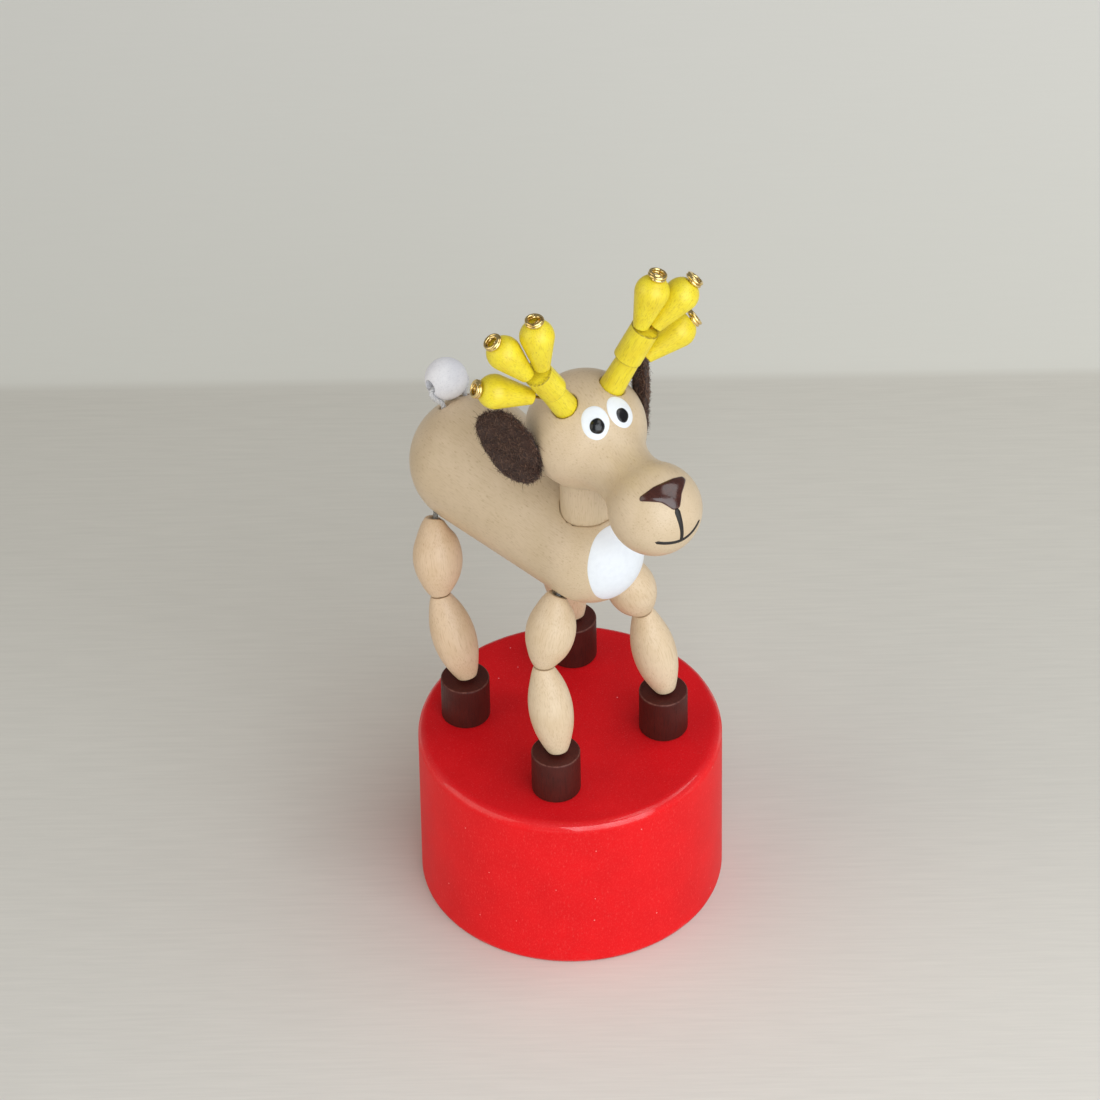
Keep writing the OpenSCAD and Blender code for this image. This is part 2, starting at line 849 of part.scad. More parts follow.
// Points of a thread from its knot up a leg to the hip
function leg_route(end, side) = [
    knot_spot(end, side) + (knot_top - knot_gap) * UP,
    knot_spot(end, side) + button_top * UP,
    hoof_spot(end, side) + roof_z * UP,
    hoof_spot(end, side) + (hoof_top - bend_far) * UP,
    hoof_spot(end, side) + (hoof_top - bend_near) * UP,
    shin_foot(end, side) + bend_near * shin_dir(end, side),
    shin_foot(end, side) + bend_far * shin_dir(end, side),
    shin_top(end, side) - bend_far * shin_dir(end, side),
    shin_top(end, side) - bend_near * shin_dir(end, side),
    thigh_foot(end, side) + bend_near * thigh_dir(end, side),
    thigh_foot(end, side) + bend_far * thigh_dir(end, side),
    thigh_top(end, side) - bend_far * thigh_dir(end, side),
    thigh_top(end, side) - bend_near * thigh_dir(end, side)
];

// Points of a thread inside the body, from a hip to its way out
function way_route(hip, out) =
    let (rise = unit(out - hip))
    [hip + bend_near * rise, hip + bend_far * rise, out - bend_far * rise, out - bend_near * rise];

// Front threads end beside the peg in the head
module front_thread(side) {
    out = neck_way(side);
    route = concat(
        leg_route(FRONT, side),
        way_route(thigh_top(FRONT, side), out),
        [
            out + bend_near * UP,
            out + bend_far * UP,
            [out[0], out[1], skull[2] - skull_r + head_bore_depth - bend_far]
        ]
    );
    color(grey_thread)
        tube(route, thread_d / 2, 8, [0, 1, 0]);
}

// The rear thread runs up one rear leg, round and through the tail bead and down the other leg
tail_room = 0.2;
tail_loop_r = (tail_d + thread_d) / 2 + tail_room;
tail_loop_angles = [-29, -8];
tail_mouth = [[0.1, 0.05], [0.5, 0.2], [1.2, 0.2]];
function tail_route(side) =
    let (x = [side, 0, 0])
    concat(
        leg_route(REAR, side),
        way_route(thigh_top(REAR, side), tail_way(side)),
        [for (a = tail_loop_angles) tail + tail_loop_r * (cos(a) * x + sin(a) * tail_dir)],
        [for (p = tail_mouth) tail + (tail_loop_r - p[0]) * x + p[1] * tail_dir]
    );
module rear_thread() {
    left = tail_route(LEFT);
    right = tail_route(RIGHT);
    route = concat(left, [for (i = [len(right) - 1 : -1 : 0]) right[i]]);
    color(grey_thread)
        tube(route, thread_d / 2, 8, [0, 1, 0]);
}

base_shell();
push_button();
return_spring();
thread_knots();
hoof(FRONT, LEFT);  // front_left_hoof
hoof(FRONT, RIGHT);  // front_right_hoof
hoof(REAR, LEFT);  // rear_left_hoof
hoof(REAR, RIGHT);  // rear_right_hoof
shin(FRONT, LEFT);  // front_left_shin
shin(FRONT, RIGHT);  // front_right_shin
shin(REAR, LEFT);  // rear_left_shin
shin(REAR, RIGHT);  // rear_right_shin
thigh(FRONT, LEFT);  // front_left_thigh
thigh(FRONT, RIGHT);  // front_right_thigh
thigh(REAR, LEFT);  // rear_left_thigh
thigh(REAR, RIGHT);  // rear_right_thigh
body();
chest_bib();
tail_bead();
neck();
head();
head_peg();
ear(LEFT);  // left_ear
ear(RIGHT);  // right_ear
eye_white(LEFT);  // left_eye_white
eye_white(RIGHT);  // right_eye_white
pupil(LEFT);  // left_pupil
pupil(RIGHT);  // right_pupil
nose_paint();
mouth_paint();
antler_stem(LEFT);  // left_antler_stem
antler_stem(RIGHT);  // right_antler_stem
antler_crown(LEFT);  // left_antler_crown
antler_crown(RIGHT);  // right_antler_crown
tine(LEFT, 0);  // left_tine_1
tine(LEFT, 1);  // left_tine_2
tine(LEFT, 2);  // left_tine_3
tine(RIGHT, 0);  // right_tine_1
tine(RIGHT, 1);  // right_tine_2
tine(RIGHT, 2);  // right_tine_3
pin(LEFT, 0);  // left_pin_1
pin(LEFT, 1);  // left_pin_2
pin(LEFT, 2);  // left_pin_3
pin(RIGHT, 0);  // right_pin_1
pin(RIGHT, 1);  // right_pin_2
pin(RIGHT, 2);  // right_pin_3
front_thread(LEFT);  // front_left_thread
front_thread(RIGHT);  // front_right_thread
rear_thread();
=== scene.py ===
"""Looks of a wooden push puppet: a reindeer of turned beads on a red drum base.

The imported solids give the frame. Each visible bead, paint mark, thread and wire is worked out again here as a
fine surface, dressed, and tied to the body that it moves with. Sizes are in millimetres until a mesh is made.
"""

import logging
import math
from collections.abc import Callable, Sequence
from dataclasses import dataclass, field, replace
from enum import Enum, IntEnum
from functools import partial
from typing import NamedTuple

import bpy
import numpy as np
from mathutils import Matrix, Vector


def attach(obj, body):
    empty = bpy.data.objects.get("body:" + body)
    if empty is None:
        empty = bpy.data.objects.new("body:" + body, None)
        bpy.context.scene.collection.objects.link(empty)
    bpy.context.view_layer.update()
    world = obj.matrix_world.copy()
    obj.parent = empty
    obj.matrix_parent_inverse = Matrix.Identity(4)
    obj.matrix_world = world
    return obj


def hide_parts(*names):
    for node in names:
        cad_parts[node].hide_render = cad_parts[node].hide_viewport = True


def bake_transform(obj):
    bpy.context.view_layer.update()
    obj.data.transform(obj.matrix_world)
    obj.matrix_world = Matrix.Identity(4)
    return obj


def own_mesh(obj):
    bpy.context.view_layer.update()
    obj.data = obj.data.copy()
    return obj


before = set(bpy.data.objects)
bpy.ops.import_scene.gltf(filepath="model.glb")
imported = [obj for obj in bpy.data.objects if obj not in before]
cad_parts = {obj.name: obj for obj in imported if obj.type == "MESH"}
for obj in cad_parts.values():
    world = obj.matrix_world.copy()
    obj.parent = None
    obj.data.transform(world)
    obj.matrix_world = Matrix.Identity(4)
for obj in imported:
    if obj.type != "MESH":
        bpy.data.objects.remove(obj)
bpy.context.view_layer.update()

MM = 0.001
LEFTWARD = np.array([1.0, 0.0, 0.0])
BACKWARD = np.array([0.0, 1.0, 0.0])
UP = np.array([0.0, 0.0, 1.0])
DICE = np.random.default_rng(41)
LOG = logging.getLogger("push_puppet")
Array = np.ndarray
Pair = tuple[float, float]
Socket = bpy.types.NodeSocket
Adder = Callable[..., bpy.types.NodeOutputs]


class Side(IntEnum):
    """Side of the animal, as the sign of X."""

    LEFT = 1
    RIGHT = -1

    @property
    def word(self) -> str:
        """The side's name as the nodes spell it."""
        return self.name.lower()

    @property
    def place(self) -> int:
        """The side's place in pairs of sizes, which give the left one first."""
        return (1 - self) // 2


class End(IntEnum):
    """End of the animal, as an index into pairs of sizes."""

    FRONT = 0
    REAR = 1

    @property
    def word(self) -> str:
        """The end's name as the nodes spell it."""
        return self.name.lower()


class Grain(Enum):
    """Where a finish reads its pattern from."""

    PIECE = "the piece's own attribute, in millimetres"
    SOLID = "object coordinates, for a solid of the frame"


class Kind(Enum):
    """Kinds of shader node, by what they give."""

    BUMP = "ShaderNodeBump"
    CELLS = "ShaderNodeTexVoronoi"
    JOIN = "ShaderNodeCombineXYZ"
    MARK = "ShaderNodeAttribute"
    MATH = "ShaderNodeMath"
    MIX = "ShaderNodeMix"
    NOISE = "ShaderNodeTexNoise"
    PLACE = "ShaderNodeTexCoord"
    RANGE = "ShaderNodeMapRange"
    RAY = "ShaderNodeLightPath"
    TONES = "ShaderNodeValToRGB"
    VECTOR = "ShaderNodeVectorMath"


class Leg(NamedTuple):
    """One of the four legs."""

    end: End
    side: Side

    @property
    def word(self) -> str:
        """The leg's name as the nodes spell it."""
        return f"{self.end.word}_{self.side.word}"


LEGS = [Leg(end, side) for end in End for side in Side]


def unit(v: Array) -> Array:
    """Scales the vectors along the last axis to length one."""
    return v / np.linalg.norm(v, axis=-1, keepdims=True)


def lean(side: int, back: float, inward: float) -> Array:
    """Unit direction of a bead on one side, the sign of X, that leans back and inward by degrees."""
    b, i = math.radians(back), math.radians(inward)
    return np.array([-side * math.sin(i), math.cos(i) * math.sin(b), math.cos(i) * math.cos(b)])


def facing(turn: float, lift: float) -> Array:
    """Unit vector at a turn to the animal's left from straight ahead and a lift above level, in degrees."""
    t, e = math.radians(turn), math.radians(lift)
    return np.array([math.sin(t) * math.cos(e), -math.cos(t) * math.cos(e), math.sin(e)])


def turned_about_up(v: Array, degrees: float) -> Array:
    """Turns the vectors along the last axis about the upright axis, counterclockwise from above."""
    c, s = math.cos(math.radians(degrees)), math.sin(math.radians(degrees))
    return v @ np.array([[c, s, 0], [-s, c, 0], [0, 0, 1]])


def axes_along(axis: Array, toward: Array) -> Array:
    """Right-handed axes whose third one is given.

    Args:
        axis: Direction of the third axis.
        toward: Direction that the first axis keeps to, square to the third.

    Returns:
        A 3 by 3 array with one axis in each row.
    """
    z = unit(axis)
    x = unit(toward - (toward @ z) * z)
    return np.stack([x, np.cross(z, x), z])


def soft_step(x: Array, low: float, high: float) -> Array:
    """Smooth rise from 0 at low to 1 at high: 3 t squared minus 2 t cubed."""
    t = np.clip((x - low) / (high - low), 0, 1)
    return t * t * (3 - 2 * t)


def full_turn(count: int) -> Array:
    """Angles that part a full turn evenly, in radians."""
    return np.linspace(0, 2 * np.pi, count, endpoint=False)


def run_along(path: Array) -> Array:
    """Distance from a path's first point to each of its points, along the path."""
    return np.concatenate([[0], np.cumsum(np.linalg.norm(np.diff(path, axis=0), axis=1))])


def linear(colour: str) -> tuple[float, float, float, float]:
    """Turns an sRGB hex colour into linear red, green, blue and alpha.

    Args:
        colour: A colour such as "#D8A070".

    Returns:
        Four linear values.
    """
    s = np.array([int(colour[i : i + 2], 16) for i in (1, 3, 5)]) / 255
    rgb = np.where(s <= 0.04045, s / 12.92, ((s + 0.055) / 1.055) ** 2.4)
    return (*rgb.tolist(), 1.0)


def feed(tree: bpy.types.NodeTree, node: bpy.types.Node, inputs: dict[str | int, object]) -> None:
    """Fills a node's sockets.

    Args:
        tree: The material's or world's node tree.
        node: The node.
        inputs: Socket name or number to an output socket, which is linked, or to a constant.
    """
    for key, value in inputs.items():
        if isinstance(value, Socket):
            tree.links.new(value, node.inputs[key])
        else:
            node.inputs[key].default_value = value


def add_node(
    tree: bpy.types.NodeTree, kind: Kind, inputs: dict[str | int, object] | None = None, **settings: object
) -> bpy.types.NodeOutputs:
    """Adds a node with its settings, constants and links.

    Args:
        tree: The material's or world's node tree.
        kind: What kind of node it is.
        inputs: Socket name or number to an output socket, which is linked, or to a constant.
        settings: The node's own properties.

    Returns:
        The new node's output sockets.
    """
    made = tree.nodes.new(kind.value)
    for key, value in settings.items():
        setattr(made, key, value)
    feed(tree, made, inputs or {})
    return made.outputs


# Surfaces


@dataclass
class Surface:
    """A mesh in the making: points in millimetres, faces, the grain's place and marks on each point."""

    points: Array
    quads: Array
    fans: Array
    grain: Array
    marks: dict[str, Array] = field(default_factory=dict)

    def placed(self, origin: Array, axes: Array) -> "Surface":
        """Moves the points to an origin and onto axes in rows, and leaves the grain as it is."""
        return replace(self, points=origin + self.points @ axes)

    def grained(self, shift: float = 40.0) -> "Surface":
        """Moves the grain by a random amount, so that no two beads look cut from one spot."""
        return replace(self, grain=self.grain + DICE.uniform(-shift, shift, 3))

    @staticmethod
    def joined(parts: Sequence["Surface"]) -> "Surface":
        """Puts several surfaces into one.

        Args:
            parts: Surfaces with the same marks.

        Returns:
            One surface.
        """
        starts = np.cumsum([0] + [len(p.points) for p in parts[:-1]])
        return Surface(
            np.concatenate([p.points for p in parts]),
            np.concatenate([p.quads + s for p, s in zip(parts, starts)]),
            np.concatenate([p.fans + s for p, s in zip(parts, starts)]),
            np.concatenate([p.grain for p in parts]),
            {k: np.concatenate([p.marks[k] for p in parts]) for k in parts[0].marks},
        )

    def piece(self, name: str, finish: "Finish") -> bpy.types.Object:
        """Makes the mesh object, smooth shaded and dressed.

        Args:
            name: The piece's name.
            finish: What it is made of.

        Returns:
            The new object, at the origin.
        """
        mesh = bpy.data.meshes.new(name)
        corners = np.concatenate([self.quads.ravel(), self.fans.ravel()]).astype(np.int32)
        quad_ends = 4 * len(self.quads)
        starts = np.concatenate([np.arange(0, quad_ends, 4), np.arange(quad_ends, len(corners), 3)])
        mesh.vertices.add(len(self.points))
        mesh.vertices.foreach_set("co", (self.points * MM).astype(np.float32).ravel())
        mesh.loops.add(len(corners))
        mesh.loops.foreach_set("vertex_index", corners)
        mesh.polygons.add(len(starts))
        mesh.polygons.foreach_set("loop_start", starts.astype(np.int32))
        mesh.polygons.foreach_set("use_smooth", np.ones(len(starts), bool))
        mesh.update(calc_edges=True)
        grain = mesh.attributes.new("grain", "FLOAT_VECTOR", "POINT")
        grain.data.foreach_set("vector", self.grain.astype(np.float32).ravel())
        for key, values in self.marks.items():
            mark = mesh.attributes.new(key, "FLOAT", "POINT")
            mark.data.foreach_set("value", values.astype(np.float32))
        mesh.materials.append(finish.material())
        made = bpy.data.objects.new(name, mesh)
        bpy.context.scene.collection.objects.link(made)
        return made


def cells(index: Array) -> Array:
    """Faces between neighbours in a grid of point numbers, as four corners each."""
    return np.stack([index[:-1, :-1], index[:-1, 1:], index[1:, 1:], index[1:, :-1]], -1).reshape(-1, 4)


def grid(points: Array, loop_rows: bool = False, caps: tuple[bool, bool] = (False, False)) -> Surface:
    """Closes a grid of points around its columns, and joins or caps its rows.

    A face joins four neighbours. Seen from outside, columns run counterclockwise about the rows' direction.

    Args:
        points: Rows by columns by 3.
        loop_rows: True joins the last row to the first.
        caps: Whether a fan closes the first and the last row.

    Returns:
        The surface, with its grain at its own points.
    """
    rows, columns = points.shape[:2]
    index = np.arange(rows * columns).reshape(rows, columns)
    flat = points.reshape(-1, 3)
    ring = np.hstack([index, index[:, :1]])
    fans = np.zeros((0, 3), int)
    for closed, row, turn in ((caps[0], 0, -1), (caps[1], -1, 1)):
        if closed:
            rim = ring[row][::turn]
            middle = np.full(columns, len(flat))
            flat = np.vstack([flat, points[row].mean(0)])
            fans = np.vstack([fans, np.stack([middle, rim[:-1], rim[1:]], -1)])
    if loop_rows:
        ring = np.vstack([ring, ring[:1]])
    return Surface(flat, cells(ring), fans, flat.copy())


def lathe(
    profile: Array, columns: int, loop_rows: bool = False, caps: tuple[bool, bool] = (False, False)
) -> Surface:
    """Turns a profile about Z: x = r cos a, y = r sin a, z = z, with a over the full turn.

    Args:
        profile: Radius and height in each row, with the outside passed upwards.
        columns: Number of steps in the turn.
        loop_rows: True for a ring, such as a bead with a bore.
        caps: Whether a fan closes the first and the last ring.

    Returns:
        The turned surface.
    """
    a = full_turn(columns)
    r, z = profile[:, :1], profile[:, 1:]
    return grid(np.stack([r * np.cos(a), r * np.sin(a), z + 0 * a], -1), loop_rows, caps)


def rounded(corners: Sequence[tuple[float, float, float]], loop: bool = False, steps: int = 7) -> Array:
    """Straight profile with an arc at each corner, as a rational quadratic curve.

    The arc runs from one tangent point to the other, with the corner's weight the sine of half its angle.

    Args:
        corners: Radius, height and corner radius of each corner. A corner radius of 0 keeps it sharp.
        loop: True closes the profile, so that its ends are rounded as well.
        steps: Points in each arc.

    Returns:
        Radius and height in each row.
    """
    table = np.array(corners, float)
    p, arc = table[:, :2], table[:, 2].copy()
    if not loop:
        arc[[0, -1]] = 0
    a, b = unit(np.roll(p, 1, 0) - p), unit(np.roll(p, -1, 0) - p)
    half = np.arccos(np.clip((a * b).sum(-1), -1, 1))[:, None] / 2
    reach = arc[:, None] / np.tan(np.maximum(half, 1e-6))
    t = np.linspace(0, 1, steps)
    weights = np.stack(np.broadcast_arrays((1 - t) ** 2, 2 * t * (1 - t) * np.sin(half), t**2))
    ends = np.stack([p + a * reach, p, p + b * reach])
    curve = np.einsum("knt,knd->ntd", weights, ends) / weights.sum(0)[..., None]
    flat = curve.reshape(-1, 2)
    apart = np.linalg.norm(flat - np.roll(flat, 1, 0), axis=1) > 1e-6
    return flat[apart | (np.arange(len(flat)) == 0) & (not loop)]


def evenly(profile: Array, step: float) -> Array:
    """Spaces the points of a line evenly along it.

    Args:
        profile: Points of the line in its rows.
        step: Distance between the new points.

    Returns:
        The new points, ends included.
    """
    run = run_along(profile)
    at = np.linspace(0, run[-1], max(2, int(round(run[-1] / step)) + 1))
    return np.stack([np.interp(at, run, column) for column in profile.T], -1)


def arc_of(centre: Pair, radius: float, start: float, stop: float, count: int = 160) -> Array:
    """Arc in a profile between two angles off the axis, in degrees: centre + radius (sin a, cos a)."""
    a = np.radians(np.linspace(start, stop, count))
    return np.stack([centre[0] + radius * np.sin(a), centre[1] + radius * np.cos(a)], -1)


def square_to(path: Array, ref: Array, loop: bool) -> tuple[Array, Array]:
    """Two unit directions at each point of a path, square to the path and to each other.

    Args:
        path: Points of the middle line.
        ref: Direction that the first one stays square to. The path never runs along it.
        loop: True where the path closes on itself.

    Returns:
        The first and the second directions.
    """
    ahead = unit(np.roll(path, -1, 0) - np.roll(path, 1, 0) if loop else np.gradient(path, axis=0))
    u = unit(np.cross(ahead, ref))
    return u, np.cross(ahead, u)


def spokes(a: Array, u: Array, v: Array) -> Array:
    """Unit circle about each point of a path: cos a u + sin a v."""
    return np.cos(a)[:, None] * u[:, None] + np.sin(a)[:, None] * v[:, None]


def tube(path: Array, radius: float, columns: int, ref: Array, loop: bool = False) -> Surface:
    """Carries a circle along a path: c(s) + radius (cos a u + sin a v), with u and v square to the path.

    Args:
        path: Points of the middle line.
        radius: Radius of the circle.
        columns: Sides of the tube.
        ref: Direction that u stays square to. The path never runs along it.
        loop: True where the path closes on itself.

    Returns:
        The tube, with its grain as turn, turn and run.
    """
    a = full_turn(columns)
    ring = radius * spokes(a, *square_to(path, ref, loop))
    made = grid(path[:, None] + ring, loop, (not loop, not loop))
    run = run_along(path)[:, None]
    turns = np.stack(np.broadcast_arrays(radius * np.cos(a), radius * np.sin(a), run), -1).reshape(-1, 3)
    made.grain[: len(turns)] = turns
    return made


def yarn(path: Array, radius: float, ref: Array, loop: bool = False) -> Surface:
    """Twisted thread: each ply's middle winds round the path, c(s) + h (cos b u + sin b v), b = 2 pi s / lay.

    Args:
        path: Points of the thread's middle line, evenly spaced.
        radius: Radius of the thread.
        ref: Direction that the path never runs along.
        loop: True where the path closes on itself.

    Returns:
        The plies as one surface.
    """
    lay, plies, strand = 1.7, 3, 0.54 * radius
    u, v = square_to(path, ref, loop)
    turns = run_along(path) / lay
    if loop:
        turns = turns / turns[-1] * round(turns[-1]) * (len(path) - 1) / len(path)
    made = []
    for i in range(plies):
        b = 2 * np.pi * (turns + i / plies)[:, None]
        made.append(tube(path + (radius - strand) * (np.cos(b) * u + np.sin(b) * v), strand, 8, ref, loop))
    return Surface.joined(made)


def eased(points: Sequence[Array], step: float = 0.16, ease: float = 0.7) -> Array:
    """Even path through points with its corners eased by a Gaussian mean along it.

    Args:
        points: Corners of the path.
        step: Distance between points of the result.
        ease: Spread of the mean in millimetres.

    Returns:
        Points of the eased path, with the same ends.
    """
    line = evenly(np.array(points), step)
    reach = int(3 * ease / step)
    weights = np.exp(-0.5 * (np.arange(-reach, reach + 1) * step / ease) ** 2)
    longer = np.vstack([2 * line[0] - line[reach:0:-1], line, 2 * line[-1] - line[-2 : -reach - 2 : -1]])
    return np.stack([np.convolve(c, weights / weights.sum(), "valid") for c in longer.T], -1)


def drilled(
    points: Array, mouth: Array, way: Array, radius: float, depth: float, lip: float = 0.22
) -> Array:
    """Pushes a surface in around a line, as a drill does: depth times a smooth step at the hole's radius.

    Args:
        points: Points of the surface.
        mouth: A point where the line leaves the surface.
        way: Direction of the line, outwards.
        radius: Radius of the hole.
        depth: How far its floor lies below the surface.
        lip: Width of the rounded rim.

    Returns:
        The new points. Those on the far side of the piece stay.
    """
    away = points - mouth
    along = away @ way
    off = np.linalg.norm(away - along[:, None] * way, axis=1)
    near_side = along > -2.5 * radius - 2
    deep = (1 - soft_step(off, radius, radius + lip)) * near_side
    return points - depth * deep[:, None] * way


def film(
    outline: Array,
    middle: Array,
    height: float,
    onto: Callable[[Array, Array], Array],
    power: float = 5.0,
    sunk: float = 0.06,
) -> Surface:
    """Paint film: rings s times the outline about its middle, with a top of height (1 - s^power)^0.5.

    Args:
        outline: Points of the edge in the mark's plane, counterclockwise from outside.
        middle: A point that sees the whole edge.
        height: Thickness in the middle.
        onto: Lays plane points at a height onto what carries the film.
        power: High for a flat film with a round edge, low for a drop.
        sunk: How far its hidden underside lies below the surface.

    Returns:
        The closed film.
    """
    under = np.linspace(0.03, 1, 8)
    top = np.sin(np.linspace(np.pi / 2, 0.02, 26))
    s = np.concatenate([under, top])
    rise = np.concatenate([np.full(len(under), -sunk), height * np.sqrt(1 - top**power)])
    flat = middle + s[:, None, None] * (outline - middle)
    return grid(onto(flat, rise[:, None]), caps=(True, True))


def oval(width: float, height: float, count: int, *waves: tuple[int, float, float]) -> Array:
    """Oval by hand: half sizes times cosine and sine, times 1 + each wave's size times its sine.

    Args:
        width: Full width.
        height: Full height.
        count: Number of points.
        waves: Number in the turn, size as a share and phase of each wave.

    Returns:
        Points of the outline.
    """
    a = full_turn(count)
    edge = 1 + sum(size * np.sin(number * a + phase) for number, size, phase in waves)
    return np.stack([width / 2 * np.cos(a), height / 2 * np.sin(a)], -1) * edge[:, None]


def rimmed(made: Surface, radius: float, tall: float, spread: float) -> Surface:
    """Marks both rims of a turned piece: the exponential of minus the squared distance in spreads.

    Args:
        made: A piece turned about Z with its foot at the origin.
        radius: Radius of its rims.
        tall: Its height.
        spread: How far a mark reaches.

    Returns:
        The marked piece.
    """
    away, z = np.hypot(made.points[:, 0], made.points[:, 1]), made.points[:, 2]
    off = np.hypot(away - radius, np.minimum(np.abs(z - tall), np.abs(z)))
    made.marks["rim"] = np.exp(-((off / spread) ** 2))
    return made


def stroke(path: Array, width: Array, height: float, onto: Callable[[Array, Array], Array]) -> Surface:
    """Painted line: a flat oval carried along a path in the mark's plane, width by height.

    Args:
        path: Points in the plane.
        width: Full width at each point.
        height: Thickness of the paint.
        onto: Lays plane points at a height onto what carries the line.

    Returns:
        The closed line.
    """
    t = unit(np.gradient(path, axis=0))
    left = np.stack([-t[:, 1], t[:, 0]], -1)
    a = full_turn(12)
    flat = path[:, None] + (width / 2)[:, None, None] * np.cos(a)[:, None] * left[:, None]
    rise = height * np.where(np.sin(a) > 0, np.sin(a), 0.5 * np.sin(a))
    return grid(onto(flat, np.broadcast_to(rise, flat.shape[:2])), caps=(True, True))


def fibres(roots: Array, ways: Array, bends: Array, lengths: Array, radius: float) -> Surface:
    """Loose hairs: root + length (t way + t squared bend), three-sided and thinner toward the tip.

    Args:
        roots: Where the hairs start.
        ways: Their first directions.
        bends: How they curl, in lengths.
        lengths: Their lengths.
        radius: Radius at the root.

    Returns:
        All hairs as one surface.
    """
    rings, sides, thinning = 4, 3, 0.7
    t = np.linspace(0, 1, rings)[None, :, None]
    middle = roots[:, None] + lengths[:, None, None] * (t * ways[:, None] + t**2 * bends[:, None])
    u = unit(np.cross(ways, ways[:, [1, 2, 0]] + np.array([0.3, 0.1, 0.7])))
    ring = spokes(full_turn(sides), u, np.cross(ways, u))
    points = middle[:, :, None] + radius * (1 - thinning * t[..., None]) * ring[:, None]
    one = np.arange(rings * sides).reshape(rings, sides)
    quads = cells(np.hstack([one, one[:, :1]]))
    fans = np.stack([one[0, ::-1][[2, 0, 1]], one[-1]])
    step = rings * sides * np.arange(len(roots))[:, None, None]
    flat = points.reshape(-1, 3)
    return Surface(flat, (step + quads).reshape(-1, 4), (step + fans).reshape(-1, 3), flat.copy())


# Finishes


@dataclass(frozen=True)
class Finish:
    """What a piece is made of: a material's name, a slot name and where the pattern is read."""

    name: str
    slot: str
    grain: Grain = Grain.PIECE

    def material(self) -> bpy.types.Material:
        """Builds the material on first use.

        Returns:
            The material.
        """
        known = bpy.data.materials.get(self.name)
        if known:
            return known
        made = bpy.data.materials.new(self.name)
        made.use_nodes = True
        self.build(made.node_tree, made.node_tree.nodes["Principled BSDF"])
        return made

    def place(self, tree: bpy.types.NodeTree) -> Socket:
        """Place on the piece in millimetres.

        Args:
            tree: The material's node tree.

        Returns:
            A vector socket.
        """
        if self.grain is Grain.PIECE:
            return add_node(tree, Kind.MARK, attribute_name="grain")["Vector"]
        solid = add_node(tree, Kind.PLACE)["Object"]
        return add_node(tree, Kind.VECTOR, {0: solid, "Scale": 1 / MM}, operation="SCALE")[0]

    def build(self, tree: bpy.types.NodeTree, shader: bpy.types.Node) -> None:
        """Adds the finish's nodes to a material's tree and feeds its Principled shader."""
        raise NotImplementedError


